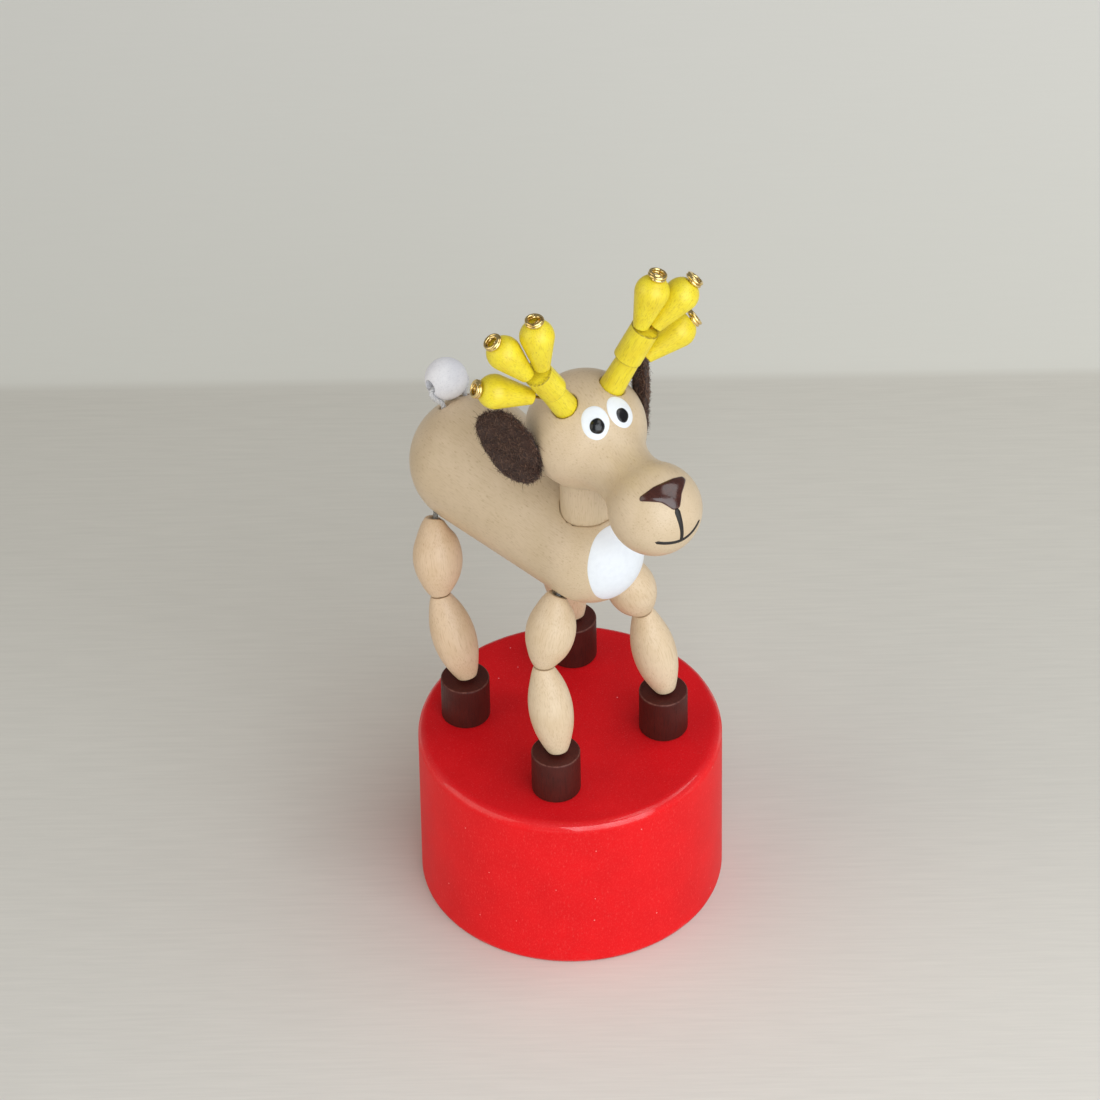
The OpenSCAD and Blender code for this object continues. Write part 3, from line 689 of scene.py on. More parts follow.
@dataclass(frozen=True)
class TurnedWood(Finish):
    """Turned wood under stain, paint or clear lacquer.

    The fibres run along the lathe's axis, so they show as fine streaks on the sides and as pores on the ends.
    """

    colour: str = "#E0C8A8"
    shade: str = "#D0B490"
    line: str = "#B89468"
    line_mm: float = 0.3
    run_mm: float = 5.0
    line_share: float = 0.5
    mottle_mm: float = 7.0
    pore_mm: float = 0.5
    pore_share: float = 0.3
    relief_mm: float = 0.03
    roughness: float = 0.45
    coat: float = 0.0
    coat_rough: float = 0.3
    polish: float = 0.0
    shine: float = 0.5
    # Colour of the rim patches: partly wear and stain, partly painted light at the rims
    rim_wear_stain_and_light: str = ""
    under: str = ""
    dust: str = ""
    # Tint that darkens the flat top: a painted shade
    flat_tint: str = ""

    def specks(self, add: Adder, at: Socket, scale: float, edge: Pair, pick: Pair) -> Socket:
        """Specks in the middles of some cells: nearness to the middle times a choice by the cell's colour.

        Args:
            add: Adds a node to the material.
            at: Place on the piece.
            scale: Cells in one unit of the place.
            edge: Distance from the middle where a speck starts and where it is full, in cells.
            pick: Cell colour up to which there is no speck, and from which there is a full one.

        Returns:
            A speck's share at each place, from 0 to 1.
        """
        spots = add(Kind.CELLS, {"Vector": at, "Scale": scale, "Randomness": 1.0})
        near = add(Kind.RANGE, {"Value": spots["Distance"], "From Min": edge[0], "From Max": edge[1]})
        some = add(Kind.RANGE, {"Value": spots["Color"], "From Min": pick[0], "From Max": pick[1]})
        return add(Kind.MATH, {0: near[0], 1: some[0]}, operation="MULTIPLY")[0]

    def rim_patches(
        self, add: Adder, place: Socket, scale: float, detail: float, rough: float, span: Pair, most: float
    ) -> Socket:
        """Patches along the marked rims: the rim's mark times noise, stretched over a span.

        Args:
            add: Adds a node to the material.
            place: Place on the piece.
            scale: Patches in a millimetre.
            detail: The noise's detail.
            rough: The noise's roughness.
            span: Where a patch starts and where it is full.
            most: Its full share.

        Returns:
            A patch's share at each place.
        """
        rim = add(Kind.MARK, attribute_name="rim")["Fac"]
        patchy = add(Kind.NOISE, {"Vector": place, "Scale": scale, "Detail": detail, "Roughness": rough})
        share = add(Kind.MATH, {0: rim, 1: patchy[0]}, operation="MULTIPLY")[0]
        return add(Kind.RANGE, {"Value": share, "From Min": span[0], "From Max": span[1], "To Max": most})[0]

    def build(self, tree: bpy.types.NodeTree, shader: bpy.types.Node) -> None:
        """Adds blotches, streaks, pores and, where they are named, rim patches that are partly wear and stain
        and partly painted light, polished rims, bare wood, dust and a painted shade on the flat top.

        Args:
            tree: The material's node tree.
            shader: Its Principled shader.
        """
        add = partial(add_node, tree)
        place = self.place(tree)
        along = (1 / self.line_mm, 1 / self.line_mm, 1 / self.run_mm)
        streak_at = add(Kind.VECTOR, {0: place, 1: along}, operation="MULTIPLY")[0]
        streaks = add(Kind.NOISE, {"Vector": streak_at, "Scale": 1.0, "Detail": 3.0, "Roughness": 0.6})[0]
        lines = add(
            Kind.RANGE, {"Value": streaks, "From Min": 0.5, "From Max": 0.78, "To Max": self.line_share}
        )[0]
        blotches = add(
            Kind.NOISE, {"Vector": place, "Scale": 1 / self.mottle_mm, "Detail": 3.0, "Roughness": 0.55}
        )[0]
        mottle = add(Kind.RANGE, {"Value": blotches, "From Min": 0.35, "From Max": 0.7})[0]
        fine = (1 / self.pore_mm, 1 / self.pore_mm, 0.4 / self.pore_mm)
        pore_at = add(Kind.VECTOR, {0: place, 1: fine}, operation="MULTIPLY")[0]
        pits = self.specks(add, pore_at, 1.0, edge=(0.34, 0.12), pick=(0.55, 0.6))
        pit_share = add(Kind.MATH, {0: pits, 1: self.pore_share}, operation="MULTIPLY")[0]
        layers = [(mottle, self.shade), (lines, self.line), (pit_share, self.line)]
        gloss = add(
            Kind.RANGE, {"Value": streaks, "To Min": self.roughness - 0.07, "To Max": self.roughness + 0.09}
        )[0]
        # Rim patches that are partly wear and stain and partly painted light: highlight where paler, shade
        # where darker
        if self.rim_wear_stain_and_light:
            rims = self.rim_patches(add, place, 1.6, detail=4.0, rough=0.7, span=(0.26, 0.5), most=0.75)
            layers.append((rims, self.rim_wear_stain_and_light))
        if self.under:
            inside = add(Kind.MARK, attribute_name="bare")["Fac"]
            ragged = add(Kind.NOISE, {"Vector": place, "Scale": 0.9, "Detail": 4.0})[0]
            edge = add(Kind.MATH, {0: inside, 1: ragged}, operation="ADD")[0]
            bare = add(Kind.RANGE, {"Value": edge, "From Min": 0.95, "From Max": 1.02})[0]
            layers.append((bare, self.under))
            gloss = add(Kind.MIX, {0: bare, 2: gloss, 3: 0.7})[0]
        if self.dust:
            layers.append((self.specks(add, place, 0.42, edge=(0.055, 0.035), pick=(0.6, 0.62)), self.dust))
        colour = linear(self.colour)
        for share, over in layers:
            colour = add(Kind.MIX, {0: share, 6: colour, 7: linear(over)}, data_type="RGBA")[2]
        # Darkens the flat top: a painted shade
        if self.flat_tint:
            flat = add(Kind.MARK, attribute_name="flat")["Fac"]
            tint = {0: flat, 6: colour, 7: linear(self.flat_tint)}
            colour = add(Kind.MIX, tint, data_type="RGBA", blend_type="MULTIPLY")[2]
        coat = self.coat
        if self.polish:
            coat = self.rim_patches(add, place, 0.16, detail=3.0, rough=0.6, span=(0.2, 0.62), most=self.polish)
        height = add(Kind.MATH, {0: pits, 1: -0.7, 2: lines}, operation="MULTIPLY_ADD")[0]
        bump = add(Kind.BUMP, {"Strength": 0.6, "Distance": self.relief_mm * MM, "Height": height})
        feed(tree, shader, {
            "Base Color": colour, "Roughness": gloss, "Normal": bump[0], "Coat Weight": coat,
            "Coat Roughness": self.coat_rough, "Specular IOR Level": self.shine,
        })


@dataclass(frozen=True)
class PaintFilm(Finish):
    """Enamel dabbed on by hand: an even colour with faint brush waves and thin spots."""

    colour: str = "#F4F6FA"
    thin: str = "#E4E4E8"
    roughness: float = 0.35
    coat: float = 0.0
    wave_mm: float = 0.9
    wave_depth: float = 0.02

    def build(self, tree: bpy.types.NodeTree, shader: bpy.types.Node) -> None:
        """Adds thin spots and brush waves.

        Args:
            tree: The material's node tree.
            shader: Its Principled shader.
        """
        add = partial(add_node, tree)
        place = self.place(tree)
        waves = add(Kind.NOISE, {"Vector": place, "Scale": 1 / self.wave_mm, "Detail": 3.0})[0]
        thin = add(Kind.RANGE, {"Value": waves, "From Min": 0.4, "From Max": 0.75, "To Max": 0.8})[0]
        colour = add(Kind.MIX, {0: thin, 6: linear(self.colour), 7: linear(self.thin)}, data_type="RGBA")
        gloss = add(
            Kind.RANGE, {"Value": waves, "To Min": self.roughness - 0.06, "To Max": self.roughness + 0.08}
        )
        bump = add(Kind.BUMP, {"Strength": 0.5, "Distance": self.wave_depth * MM, "Height": waves})
        feed(tree, shader, {
            "Base Color": colour[2], "Roughness": gloss[0], "Normal": bump[0],
            "Coat Weight": self.coat, "Coat Roughness": 0.08,
        })


@dataclass(frozen=True)
class Felt(Finish):
    """Wool felt: matted fibres with painted highlights at their tips and painted shade between them, so it
    looks soft and dull.
    """

    colour: str = "#3C2419"
    deep: str = "#20120D"
    tip: str = "#5F4132"
    fibre_mm: float = 0.16
    run_mm: float = 1.6
    swirl_mm: float = 2.2

    def build(self, tree: bpy.types.NodeTree, shader: bpy.types.Node) -> None:
        """Adds crossing fibres, painted shade in their hollows, painted highlights at their tips and sheen.

        Args:
            tree: The material's node tree.
            shader: Its Principled shader.
        """
        add = partial(add_node, tree)
        place = self.place(tree)
        swirl = add(Kind.NOISE, {"Vector": place, "Scale": 0.8, "Detail": 2.0})[1]
        bend = {0: swirl, 1: (self.swirl_mm,) * 3, 2: place}
        bent = add(Kind.VECTOR, bend, operation="MULTIPLY_ADD")[0]
        fine = (1 / self.fibre_mm, 1 / self.run_mm, 1 / self.fibre_mm)
        run = add(Kind.VECTOR, {0: bent, 1: fine}, operation="MULTIPLY")[0]
        mat = add(Kind.NOISE, {"Vector": run, "Scale": 1.0, "Detail": 4.0, "Roughness": 0.7})[0]
        # Painted shade in the hollows and painted highlights at the fibre tips, which a hair's own tone mark
        # lightens further
        hollow = add(Kind.RANGE, {"Value": mat, "From Min": 0.55, "From Max": 0.3})[0]
        tips = add(Kind.RANGE, {"Value": mat, "From Min": 0.58, "From Max": 0.75})[0]
        tone = add(Kind.MARK, attribute_name="tone")["Fac"]
        lit = add(Kind.MATH, {0: tips, 1: tone}, operation="MAXIMUM")[0]
        colour = linear(self.colour)
        for share, over in ((hollow, self.deep), (lit, self.tip)):
            colour = add(Kind.MIX, {0: share, 6: colour, 7: linear(over)}, data_type="RGBA")[2]
        bump = add(Kind.BUMP, {"Strength": 0.9, "Distance": 0.12 * MM, "Height": mat})
        feed(tree, shader, {
            "Base Color": colour, "Normal": bump[0], "Roughness": 0.95, "Specular IOR Level": 0.15,
            "Sheen Weight": 0.12, "Sheen Roughness": 0.6,
        })


@dataclass(frozen=True)
class TwistedThread(Finish):
    """Spun cotton: fine pale and darker fibres along each ply."""

    colour: str = "#8F8D88"
    deep: str = "#64625E"
    fibre_mm: float = 0.07

    def build(self, tree: bpy.types.NodeTree, shader: bpy.types.Node) -> None:
        """Adds fibres along the plies.

        Args:
            tree: The material's node tree.
            shader: Its Principled shader.
        """
        add = partial(add_node, tree)
        fine = (1 / self.fibre_mm, 1 / self.fibre_mm, 1.4)
        run = add(Kind.VECTOR, {0: self.place(tree), 1: fine}, operation="MULTIPLY")[0]
        spun = add(Kind.NOISE, {"Vector": run, "Scale": 1.0, "Detail": 2.0})[0]
        share = add(Kind.RANGE, {"Value": spun, "From Min": 0.45, "From Max": 0.7})[0]
        colour = add(Kind.MIX, {0: share, 6: linear(self.colour), 7: linear(self.deep)}, data_type="RGBA")
        bump = add(Kind.BUMP, {"Strength": 0.6, "Distance": 0.03 * MM, "Height": spun})
        feed(tree, shader, {"Base Color": colour[2], "Normal": bump[0], "Roughness": 0.85})


@dataclass(frozen=True)
class DrawnWire(Finish):
    """Drawn metal wire: bright, with faint die lines along it and duller spots."""

    colour: str = "#D9B45A"
    dull: str = "#9C7430"
    roughness: float = 0.2

    def build(self, tree: bpy.types.NodeTree, shader: bpy.types.Node) -> None:
        """Adds die lines and dull spots.

        Args:
            tree: The material's node tree.
            shader: Its Principled shader.
        """
        add = partial(add_node, tree)
        place = self.place(tree)
        run = add(Kind.VECTOR, {0: place, 1: (9.0, 9.0, 0.5)}, operation="MULTIPLY")[0]
        drawn = add(Kind.NOISE, {"Vector": run, "Scale": 1.0, "Detail": 2.0})[0]
        spots = add(Kind.NOISE, {"Vector": place, "Scale": 0.9, "Detail": 3.0})[0]
        share = add(Kind.RANGE, {"Value": spots, "From Min": 0.52, "From Max": 0.72})[0]
        colour = add(Kind.MIX, {0: share, 6: linear(self.colour), 7: linear(self.dull)}, data_type="RGBA")
        gloss = add(
            Kind.RANGE, {"Value": drawn, "To Min": self.roughness - 0.06, "To Max": self.roughness + 0.14}
        )
        feed(tree, shader, {"Base Color": colour[2], "Roughness": gloss[0], "Metallic": 1.0})


# Glossy enamel nearly hides the grain and shows a broken soft streak on the edge, with a little dust. Its flat
# top is tinted darker: a painted shade
# Its fine lighter streaks and pores, in the line colour, are painted glints of the enamel's orange-peel
RED_ENAMEL = TurnedWood(
    "red_enamel_on_wood", "red_paint", colour="#E4191E", shade="#DA171C", line="#F44B48", line_mm=0.22,
    run_mm=0.35, line_share=0.4, mottle_mm=9.0, pore_mm=0.45, relief_mm=0.05,
    coat_rough=0.1, polish=1.3, shine=0.1, under="#E0C299", dust="#FA9F9B", flat_tint="#EEDCF0",
)
# Dark stain lets the grain through as fine ridges; its rims are paler, partly wear and partly a painted
# highlight
DARK_STAIN = TurnedWood(
    "dark_stained_wood", "dark_paint", colour="#4C1A14", shade="#40140E", line="#260C09", line_mm=0.2,
    run_mm=2.6, line_share=0.7, mottle_mm=4.0, pore_mm=0.6, pore_share=0.2, relief_mm=0.05, roughness=0.5,
    shine=0.3, rim_wear_stain_and_light="#78493D",
)
# Pale lacquered beech shows short fine streaks and a satin sheen
PALE_BEECH = TurnedWood(
    "pale_lacquered_beech", "bare_wood", colour="#D8C2A4", shade="#CFB694", line="#A58359", line_mm=0.17,
    run_mm=2.8, mottle_mm=5.0, pore_mm=0.4, pore_share=0.2, roughness=0.46, coat=0.06,
)
# The rear beads come from a slightly pinker stick of the same wood
PINK_BEECH = replace(
    PALE_BEECH, name="pink_lacquered_beech", colour="#DBC0A1", shade="#D0B38F", line="#A57E57"
)
# Bare beech inside the base is dull
DRY_BEECH = replace(
    PALE_BEECH, name="dry_beech", grain=Grain.SOLID, colour="#DCC39D", shade="#D0B48A", roughness=0.7,
    coat=0.0,
)
# Thin tan paint follows the grain's ridges and leaves small pits
TAN_PAINT = TurnedWood(
    "tan_satin_paint_on_wood", "tan_paint", colour="#D2BC9E", shade="#C9B392", line="#9D805B", line_mm=0.15,
    run_mm=1.8, line_share=0.4, mottle_mm=8.0, pore_mm=0.42, pore_share=0.34, roughness=0.4, coat=0.14,
)
# Bright yellow stain pools in the grain as darker hair lines; its cut rims are darker, partly stain and glue
# and partly a painted shade in the seams
YELLOW_STAIN = TurnedWood(
    "yellow_stained_wood", "yellow_stain", colour="#EAD82E", shade="#E1C923", line="#AE8F11", line_mm=0.17,
    run_mm=1.7, line_share=0.62, mottle_mm=3.0, pore_mm=0.4, pore_share=0.35, roughness=0.42,
    coat=0.1, rim_wear_stain_and_light="#725909",
)
# Matt white paint on the tail is a little chalky
CHALK_WHITE = TurnedWood(
    "chalky_white_paint", "white_bead", colour="#EBEBF0", shade="#E1E1E8", line="#BCBCC6", line_mm=0.2,
    run_mm=0.4, line_share=0.35, mottle_mm=3.0, pore_mm=0.35, relief_mm=0.06, roughness=0.8, shine=0.3,
)
# White enamel is smooth and slightly blue
WHITE_ENAMEL = PaintFilm("white_enamel", "white_paint", colour="#E2E6EB", thin="#DCE0E6", roughness=0.42)
# Black enamel stands up in a glossy drop
BLACK_ENAMEL = PaintFilm(
    "black_enamel", "black_paint", colour="#0A0B0F", thin="#12131A", roughness=0.22, coat=0.15, wave_mm=0.5,
    wave_depth=0.08,
)
# The mouth's line is thin matt black
BLACK_LINE = PaintFilm(
    "black_line_paint", "black_paint", colour="#120E0C", thin="#221A15", roughness=0.5, wave_mm=0.3
)
# Dark brown enamel on the nose, wavy from the brush
NOSE_ENAMEL = PaintFilm(
    "brown_enamel", "brown_paint", colour="#3C1A14", thin="#4D251C", roughness=0.2, coat=0.5, wave_mm=0.8,
    wave_depth=0.06,
)
# Pressed wool is dull, with painted shade between its fibres
BROWN_FELT = Felt("brown_wool_felt", "felt")
# Loose hairs are darker, with painted highlights on their fibres and each hair's own tone
FELT_HAIR = replace(BROWN_FELT, name="loose_brown_wool", colour="#2F1A13", tip="#8F6C58")
# Twisted cotton is grey and dull
GREY_THREAD = TwistedThread("grey_cotton_thread", "thread")
# The rear thread is paler where it shows beside the white tail
PALE_THREAD = replace(GREY_THREAD, name="pale_cotton_thread", colour="#D8D8DA", deep="#AFAFB2")
# Brass reflects warm yellow and darkens where fingers have been
BRASS = DrawnWire("drawn_brass_wire", "brass_wire", colour="#F0D592", dull="#B98C40", roughness=0.14)
# Spring steel is grey and bright
STEEL = DrawnWire("drawn_steel_wire", "spring_steel", colour="#A9ABAE", dull="#7C7E82", roughness=0.28)


# Where things stand


@dataclass(frozen=True)
class Stance:
    """Where each bead of the animal stands, from the solids' sizes. Pairs give front, then rear."""

    base_height: float = 30.5
    hoof_height: float = 8.0
    hoof_span: Pair = (22.8, 23.4)
    hoof_shift: float = 1.4
    shin_length: float = 14.8
    shin_end: float = 3.3
    thigh_length: float = 12.2
    thigh_end: float = 3.0
    bead_gap: float = 0.15
    shin_slip: float = 0.6
    shin_back: Pair = (17.2, 22.2)
    shin_in: Pair = (3.6, -2.0)
    thigh_back: Pair = (5.2, 20.4)
    thigh_in: Pair = (18.4, 12.0)
    body_r: Pair = (8.9, 10.9)
    body_lead: Pair = (0.4, -0.6)
    hip_gap: float = 0.35
    neck_d: float = 8.6
    neck_length: float = 8.3
    neck_set_back: float = 0.5
    seat_room: float = 0.1
    seat_rim: float = 0.05
    stem_d: float = 4.3
    skull_r: float = 9.7
    head_turn: float = 6.0
    tail_d: float = 7.0
    tail_back: float = 30.6

    @property
    def hoof_top(self) -> float:
        """Height of the hooves' upper faces."""
        return self.base_height + self.hoof_height

    def hoof_spot(self, leg: Leg) -> Array:
        """Middle of a hoof at the floor's level."""
        along = self.hoof_shift + (-1, 1)[leg.end] * self.hoof_span[1] / 2
        return np.array([leg.side * self.hoof_span[0] / 2, along, 0.0])

    def stacked(self, spot: Array, below: Array, above: Array, radius: float) -> Array:
        """Foot of a bead that stands clear of the one below it, whose end face lies at a spot."""
        room = 2 * radius * math.sin(math.acos(min(1.0, below @ above)) / 2) + self.bead_gap
        return spot + room * unit(below + above)

    def shin_dir(self, leg: Leg) -> Array:
        """Direction of a shin, upwards."""
        return lean(leg.side, self.shin_back[leg.end], self.shin_in[leg.end])

    def thigh_dir(self, leg: Leg) -> Array:
        """Direction of a thigh, upwards."""
        return lean(leg.side, self.thigh_back[leg.end], self.thigh_in[leg.end])

    def shin_foot(self, leg: Leg) -> Array:
        """Middle of a shin's lower face."""
        spot = self.hoof_spot(leg) + np.array([0, -self.shin_slip, self.hoof_top])
        return self.stacked(spot, UP, self.shin_dir(leg), self.shin_end / 2)

    def shin_top(self, leg: Leg) -> Array:
        """Middle of a shin's upper face."""
        return self.shin_foot(leg) + self.shin_length * self.shin_dir(leg)

    def thigh_foot(self, leg: Leg) -> Array:
        """Middle of a thigh's lower face."""
        shin, thigh = self.shin_dir(leg), self.thigh_dir(leg)
        return self.stacked(self.shin_top(leg), shin, thigh, max(self.shin_end, self.thigh_end) / 2)

    def thigh_top(self, leg: Leg) -> Array:
        """Middle of a thigh's upper face, at the hip."""
        return self.thigh_foot(leg) + self.thigh_length * self.thigh_dir(leg)

    def body_centre(self, end: End) -> Array:
        """Centre of the body's round end, which clears the inner edges of its two thighs by the hips' gap.

        Args:
            end: Front or rear.

        Returns:
            The centre, in the middle plane.
        """
        hip = self.thigh_top(Leg(end, Side.LEFT))
        across = lean(Side.LEFT, self.thigh_back[end], self.thigh_in[end] - 90)
        edge = hip - self.thigh_end / 2 * across
        rise = math.sqrt((self.body_r[end] + self.hip_gap) ** 2 - edge[0] ** 2)
        return np.array([0, hip[1] - self.body_lead[end], edge[2] + rise])

    @property
    def seat_r(self) -> float:
        """Radius of the neck's flat seats."""
        return self.neck_d / 2 + self.seat_room

    @property
    def chest_seat(self) -> Array:
        """Middle of the flat under the neck."""
        rise = math.sqrt(self.body_r[0] ** 2 - (self.seat_r + self.neck_set_back) ** 2)
        return self.body_centre(End.FRONT) + np.array([0, self.neck_set_back, rise])

    @property
    def neck_foot(self) -> Array:
        """Middle of the neck's lower face."""
        return self.chest_seat + self.bead_gap * UP

    @property
    def skull(self) -> Array:
        """Centre of the skull."""
        drop = math.sqrt(self.skull_r**2 - self.seat_r**2)
        return self.neck_foot + (self.neck_length + self.bead_gap + drop) * UP

    @property
    def tail_dir(self) -> Array:
        """Direction from the rump to the tail."""
        return np.array([0, math.sin(math.radians(self.tail_back)), math.cos(math.radians(self.tail_back))])

    @property
    def tail(self) -> Array:
        """Centre of the tail ball."""
        reach = self.body_r[1] + self.tail_d / 2 + self.bead_gap
        return self.body_centre(End.REAR) + reach * self.tail_dir

    def from_head(self, points: Array) -> Array:
        """Puts points given from the skull's centre, in the head's frame, into the whole."""
        return self.skull + turned_about_up(points, -self.head_turn)


@dataclass(frozen=True)
class Made:
    """A finished piece and what it moves with."""

    piece: bpy.types.Object
    body: str


def riding(piece: bpy.types.Object, body: str, *nodes: str) -> Made:
    """Ties a piece to a body and to the solids that it stands for.

    Args:
        piece: The piece.
        body: The body that it moves with.
        nodes: Names of the solids.

    Returns:
        The piece with its body.
    """
    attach(piece, body)
    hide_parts(*nodes)
    return Made(piece, body)


def bending(piece: bpy.types.Object, low: str, high: str, start: Array, stop: Array, *nodes: str) -> Made:
    """Bakes a piece's place into its mesh, hides its solids and names the two bodies that a joint joins.

    Args:
        piece: The piece.
        low: Body at its start.
        high: Body at its end.
        start: Where it starts to bend, in millimetres. Not used.
        stop: Where it has bent. Not used.
        nodes: Names of the solids that it stands for.

    Returns:
        The piece with its bodies.
    """
    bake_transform(piece)
    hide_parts(*nodes)
    return Made(piece, f"{low} to {high}")


def on_head(surface: Surface, stance: Stance, name: str, finish: Finish, node: str) -> Made:
    """Moves a surface from the head's frame into the whole, and ties it to the head and its solid."""
    moved = replace(surface, points=stance.from_head(surface.points))
    return riding(moved.piece(name, finish), "head", node)


def bead_profile(belly: Array, bore: float, end_edge: float, bore_edge: float) -> Array:
    """Closed profile of a drilled bead: its belly, two flat ends and the bore, with eased edges.

    Args:
        belly: Radius and height of the outside, from the lower end face to the upper one.
        bore: Radius of the bore.
        end_edge: Rounding of the end faces' rims.
        bore_edge: Rounding of the bore's rims.

    Returns:
        Radius and height in each row.
    """
    inner = [(bore, belly[0, 1], bore_edge)]
    outer = [(*belly[0], end_edge), *((r, z, 0.0) for r, z in belly[1:-1]), (*belly[-1], end_edge)]
    return rounded(inner + outer + [(bore, belly[-1, 1], bore_edge)], loop=True)


# Sub-assemblies


@dataclass(frozen=True)
class Base:
    """Red drum with its four hooves."""

    stance: Stance
    diameter: float = 50.0
    edge_r: float = 1.6
    foot_edge_r: float = 0.5
    inner_edge_r: Pair = (0.4, 0.5)
    wall: float = 4.6
    roof: float = 6.5
    hub_r: float = 0.3
    bare_margin: Pair = (1.4, 1.0)
    sheen: float = 1.0
    hoof_d: float = 8.0
    hoof_edge_r: float = 0.3
    hoof_wear_and_glint: float = 0.28
    hole_d: float = 1.8
    hole_edge_r: float = 0.25

    def cup(self) -> Surface:
        """Turned cup: under the roof, down the inside, round the foot, up the outside and over the top.

        Returns:
            The cup, with the bare wood inside, the flat top for its painted shade and the upper edge marked.
        """
        r, top, inner = self.diameter / 2, self.stance.base_height, self.diameter / 2 - self.wall
        ceiling = top - self.roof
        corners = [
            (self.hub_r, ceiling, 0), (inner, ceiling, self.inner_edge_r[0]),
            (inner, 0, self.inner_edge_r[1]), (r, 0, self.foot_edge_r), (r, top, self.edge_r),
            (self.hub_r, top, 0),
        ]
        made = lathe(evenly(rounded(corners, steps=14), 0.4), 288, caps=(True, True))
        away, z = np.hypot(made.points[:, 0], made.points[:, 1]), made.points[:, 2]
        inside = (away < inner + self.bare_margin[0]) & (z < ceiling + self.bare_margin[1])
        made.marks["bare"] = inside.astype(float)
        # Marks the flat top, where the finish paints a darker shade
        made.marks["flat"] = soft_step(z, top - 0.5 * self.edge_r, top - 0.02)
        mid_edge = 0.3 * self.edge_r
        return rimmed(made, r - mid_edge, top - mid_edge, self.sheen)

    def hoof(self, leg: Leg) -> Surface:
        """Drilled cylinder with eased rims, which are marked for paler wear and a painted highlight.

        Args:
            leg: The leg that stands on it.

        Returns:
            The hoof in place.
        """
        r, tall = self.hoof_d / 2, self.stance.hoof_height
        belly = np.stack([np.full(12, r), np.linspace(0, tall, 12)], -1)
        profile = bead_profile(belly, self.hole_d / 2, self.hoof_edge_r, self.hole_edge_r)
        made = rimmed(lathe(profile, 96, loop_rows=True), r, tall, self.hoof_wear_and_glint).grained()
        return made.placed(self.stance.hoof_spot(leg) + self.stance.base_height * UP, np.eye(3))

    def build(self) -> list[Made]:
        """Makes the drum and the hooves, all fixed to the base.

        Returns:
            The pieces.
        """
        made = [riding(self.cup().piece("red_drum", RED_ENAMEL), "base", "base_shell")]
        for leg in LEGS:
            hoof = self.hoof(leg).piece(f"hoof_{leg.word}", DARK_STAIN)
            made.append(riding(hoof, "base", f"{leg.word}_hoof"))
        return made


@dataclass(frozen=True)
class Legs:
    """Four legs of two barrel beads each."""

    stance: Stance
    shin_d: float = 7.2
    thigh_d: float = 8.1
    bore_d: float = 1.8
    bore_edge_r: float = 0.15
    end_edge_r: float = 0.13
    seam: float = 0.14
    hip_seam: float = 0.24
    hip_share: Pair = (1.0, 0.85)
    most_slide: float = 0.9
    ankle_share: float = 0.25
    fade: float = 2.8

    def barrel(self, length: float, belly_d: float, end_d: float) -> Surface:
        """Barrel bead: its outside is one arc through both end rims and the belly.

        Args:
            length: Length along the bore.
            belly_d: Largest diameter.
            end_d: Diameter of the flat ends.

        Returns:
            The bead along Z with its foot at the origin.
        """
        swell = (belly_d - end_d) / 2
        arc_r = ((length / 2) ** 2 + swell**2) / (2 * swell)
        z = np.linspace(0, length, 56)
        r = belly_d / 2 - arc_r + np.sqrt(arc_r**2 - (z - length / 2) ** 2)
        profile = bead_profile(np.stack([r, z], -1), self.bore_d / 2, self.end_edge_r, self.bore_edge_r)
        return lathe(profile, 120, loop_rows=True).grained()

    def settled(
        self, bead: Surface, foot: Array, way: Array, *ends: tuple[float, float, Array, Array]
    ) -> Surface:
        """Places a bead and slides its end faces along it onto planes, so that its neighbours sit flush.

        The slide is a share of ((p - q) . n) / n_z for a point q of the face. A hyperbolic tangent eases it
        toward a limit, and it fades out along the bead.

        Args:
            bead: A bead along Z.
            foot: Where its foot goes.
            way: Direction of its bore.
            ends: Height of an end face, the share, a point of the plane and its normal.

        Returns:
            The bead in place.
        """
        axes = axes_along(way, LEFTWARD)
        points = bead.points.copy()
        for at, share, point, normal in ends:
            p, n = axes @ (point - foot), axes @ normal
            face = np.stack([points[:, 0], points[:, 1], np.full(len(points), at)], -1)
            near = 1 - soft_step(np.abs(bead.points[:, 2] - at), 0, self.fade)
            slide = share * ((p - face) @ n) / n[2]
            points[:, 2] += near * self.most_slide * np.tanh(slide / self.most_slide)
        return replace(bead, points=points).placed(foot, axes)

    def build(self) -> list[Made]:
        """Makes shins and thighs, each on its own body.

        Returns:
            The pieces.
        """
        s, made = self.stance, []
        for leg in LEGS:
            name, wood = leg.word, (PALE_BEECH, PINK_BEECH)[leg.end]
            foot, shin = s.shin_foot(leg), s.shin_dir(leg)
            knee, thigh = s.thigh_foot(leg), s.thigh_dir(leg)
            fold, middle = unit(shin + thigh), (s.shin_top(leg) + knee) / 2
            out = unit(s.thigh_top(leg) - s.body_centre(leg.end))
            hip = s.body_centre(leg.end) + (s.body_r[leg.end] + self.hip_seam) * out
            at_ankle = (0.0, self.ankle_share, (s.hoof_top + self.seam) * UP, UP)
            under_knee = (s.shin_length, 1.0, middle - self.seam / 2 * fold, fold)
            over_knee = (0.0, 1.0, middle + self.seam / 2 * fold, fold)
            at_hip = (s.thigh_length, self.hip_share[leg.end], hip, out)
            lower = self.barrel(s.shin_length, self.shin_d, s.shin_end)
            lower = self.settled(lower, foot, shin, at_ankle, under_knee)
            made.append(riding(lower.piece(f"shin_{name}", wood), f"{name}_shin", f"{name}_shin"))
            upper = self.barrel(s.thigh_length, self.thigh_d, s.thigh_end)
            upper = self.settled(upper, knee, thigh, over_knee, at_hip)
            made.append(riding(upper.piece(f"thigh_{name}", wood), f"{name}_thigh", f"{name}_thigh"))
        return made


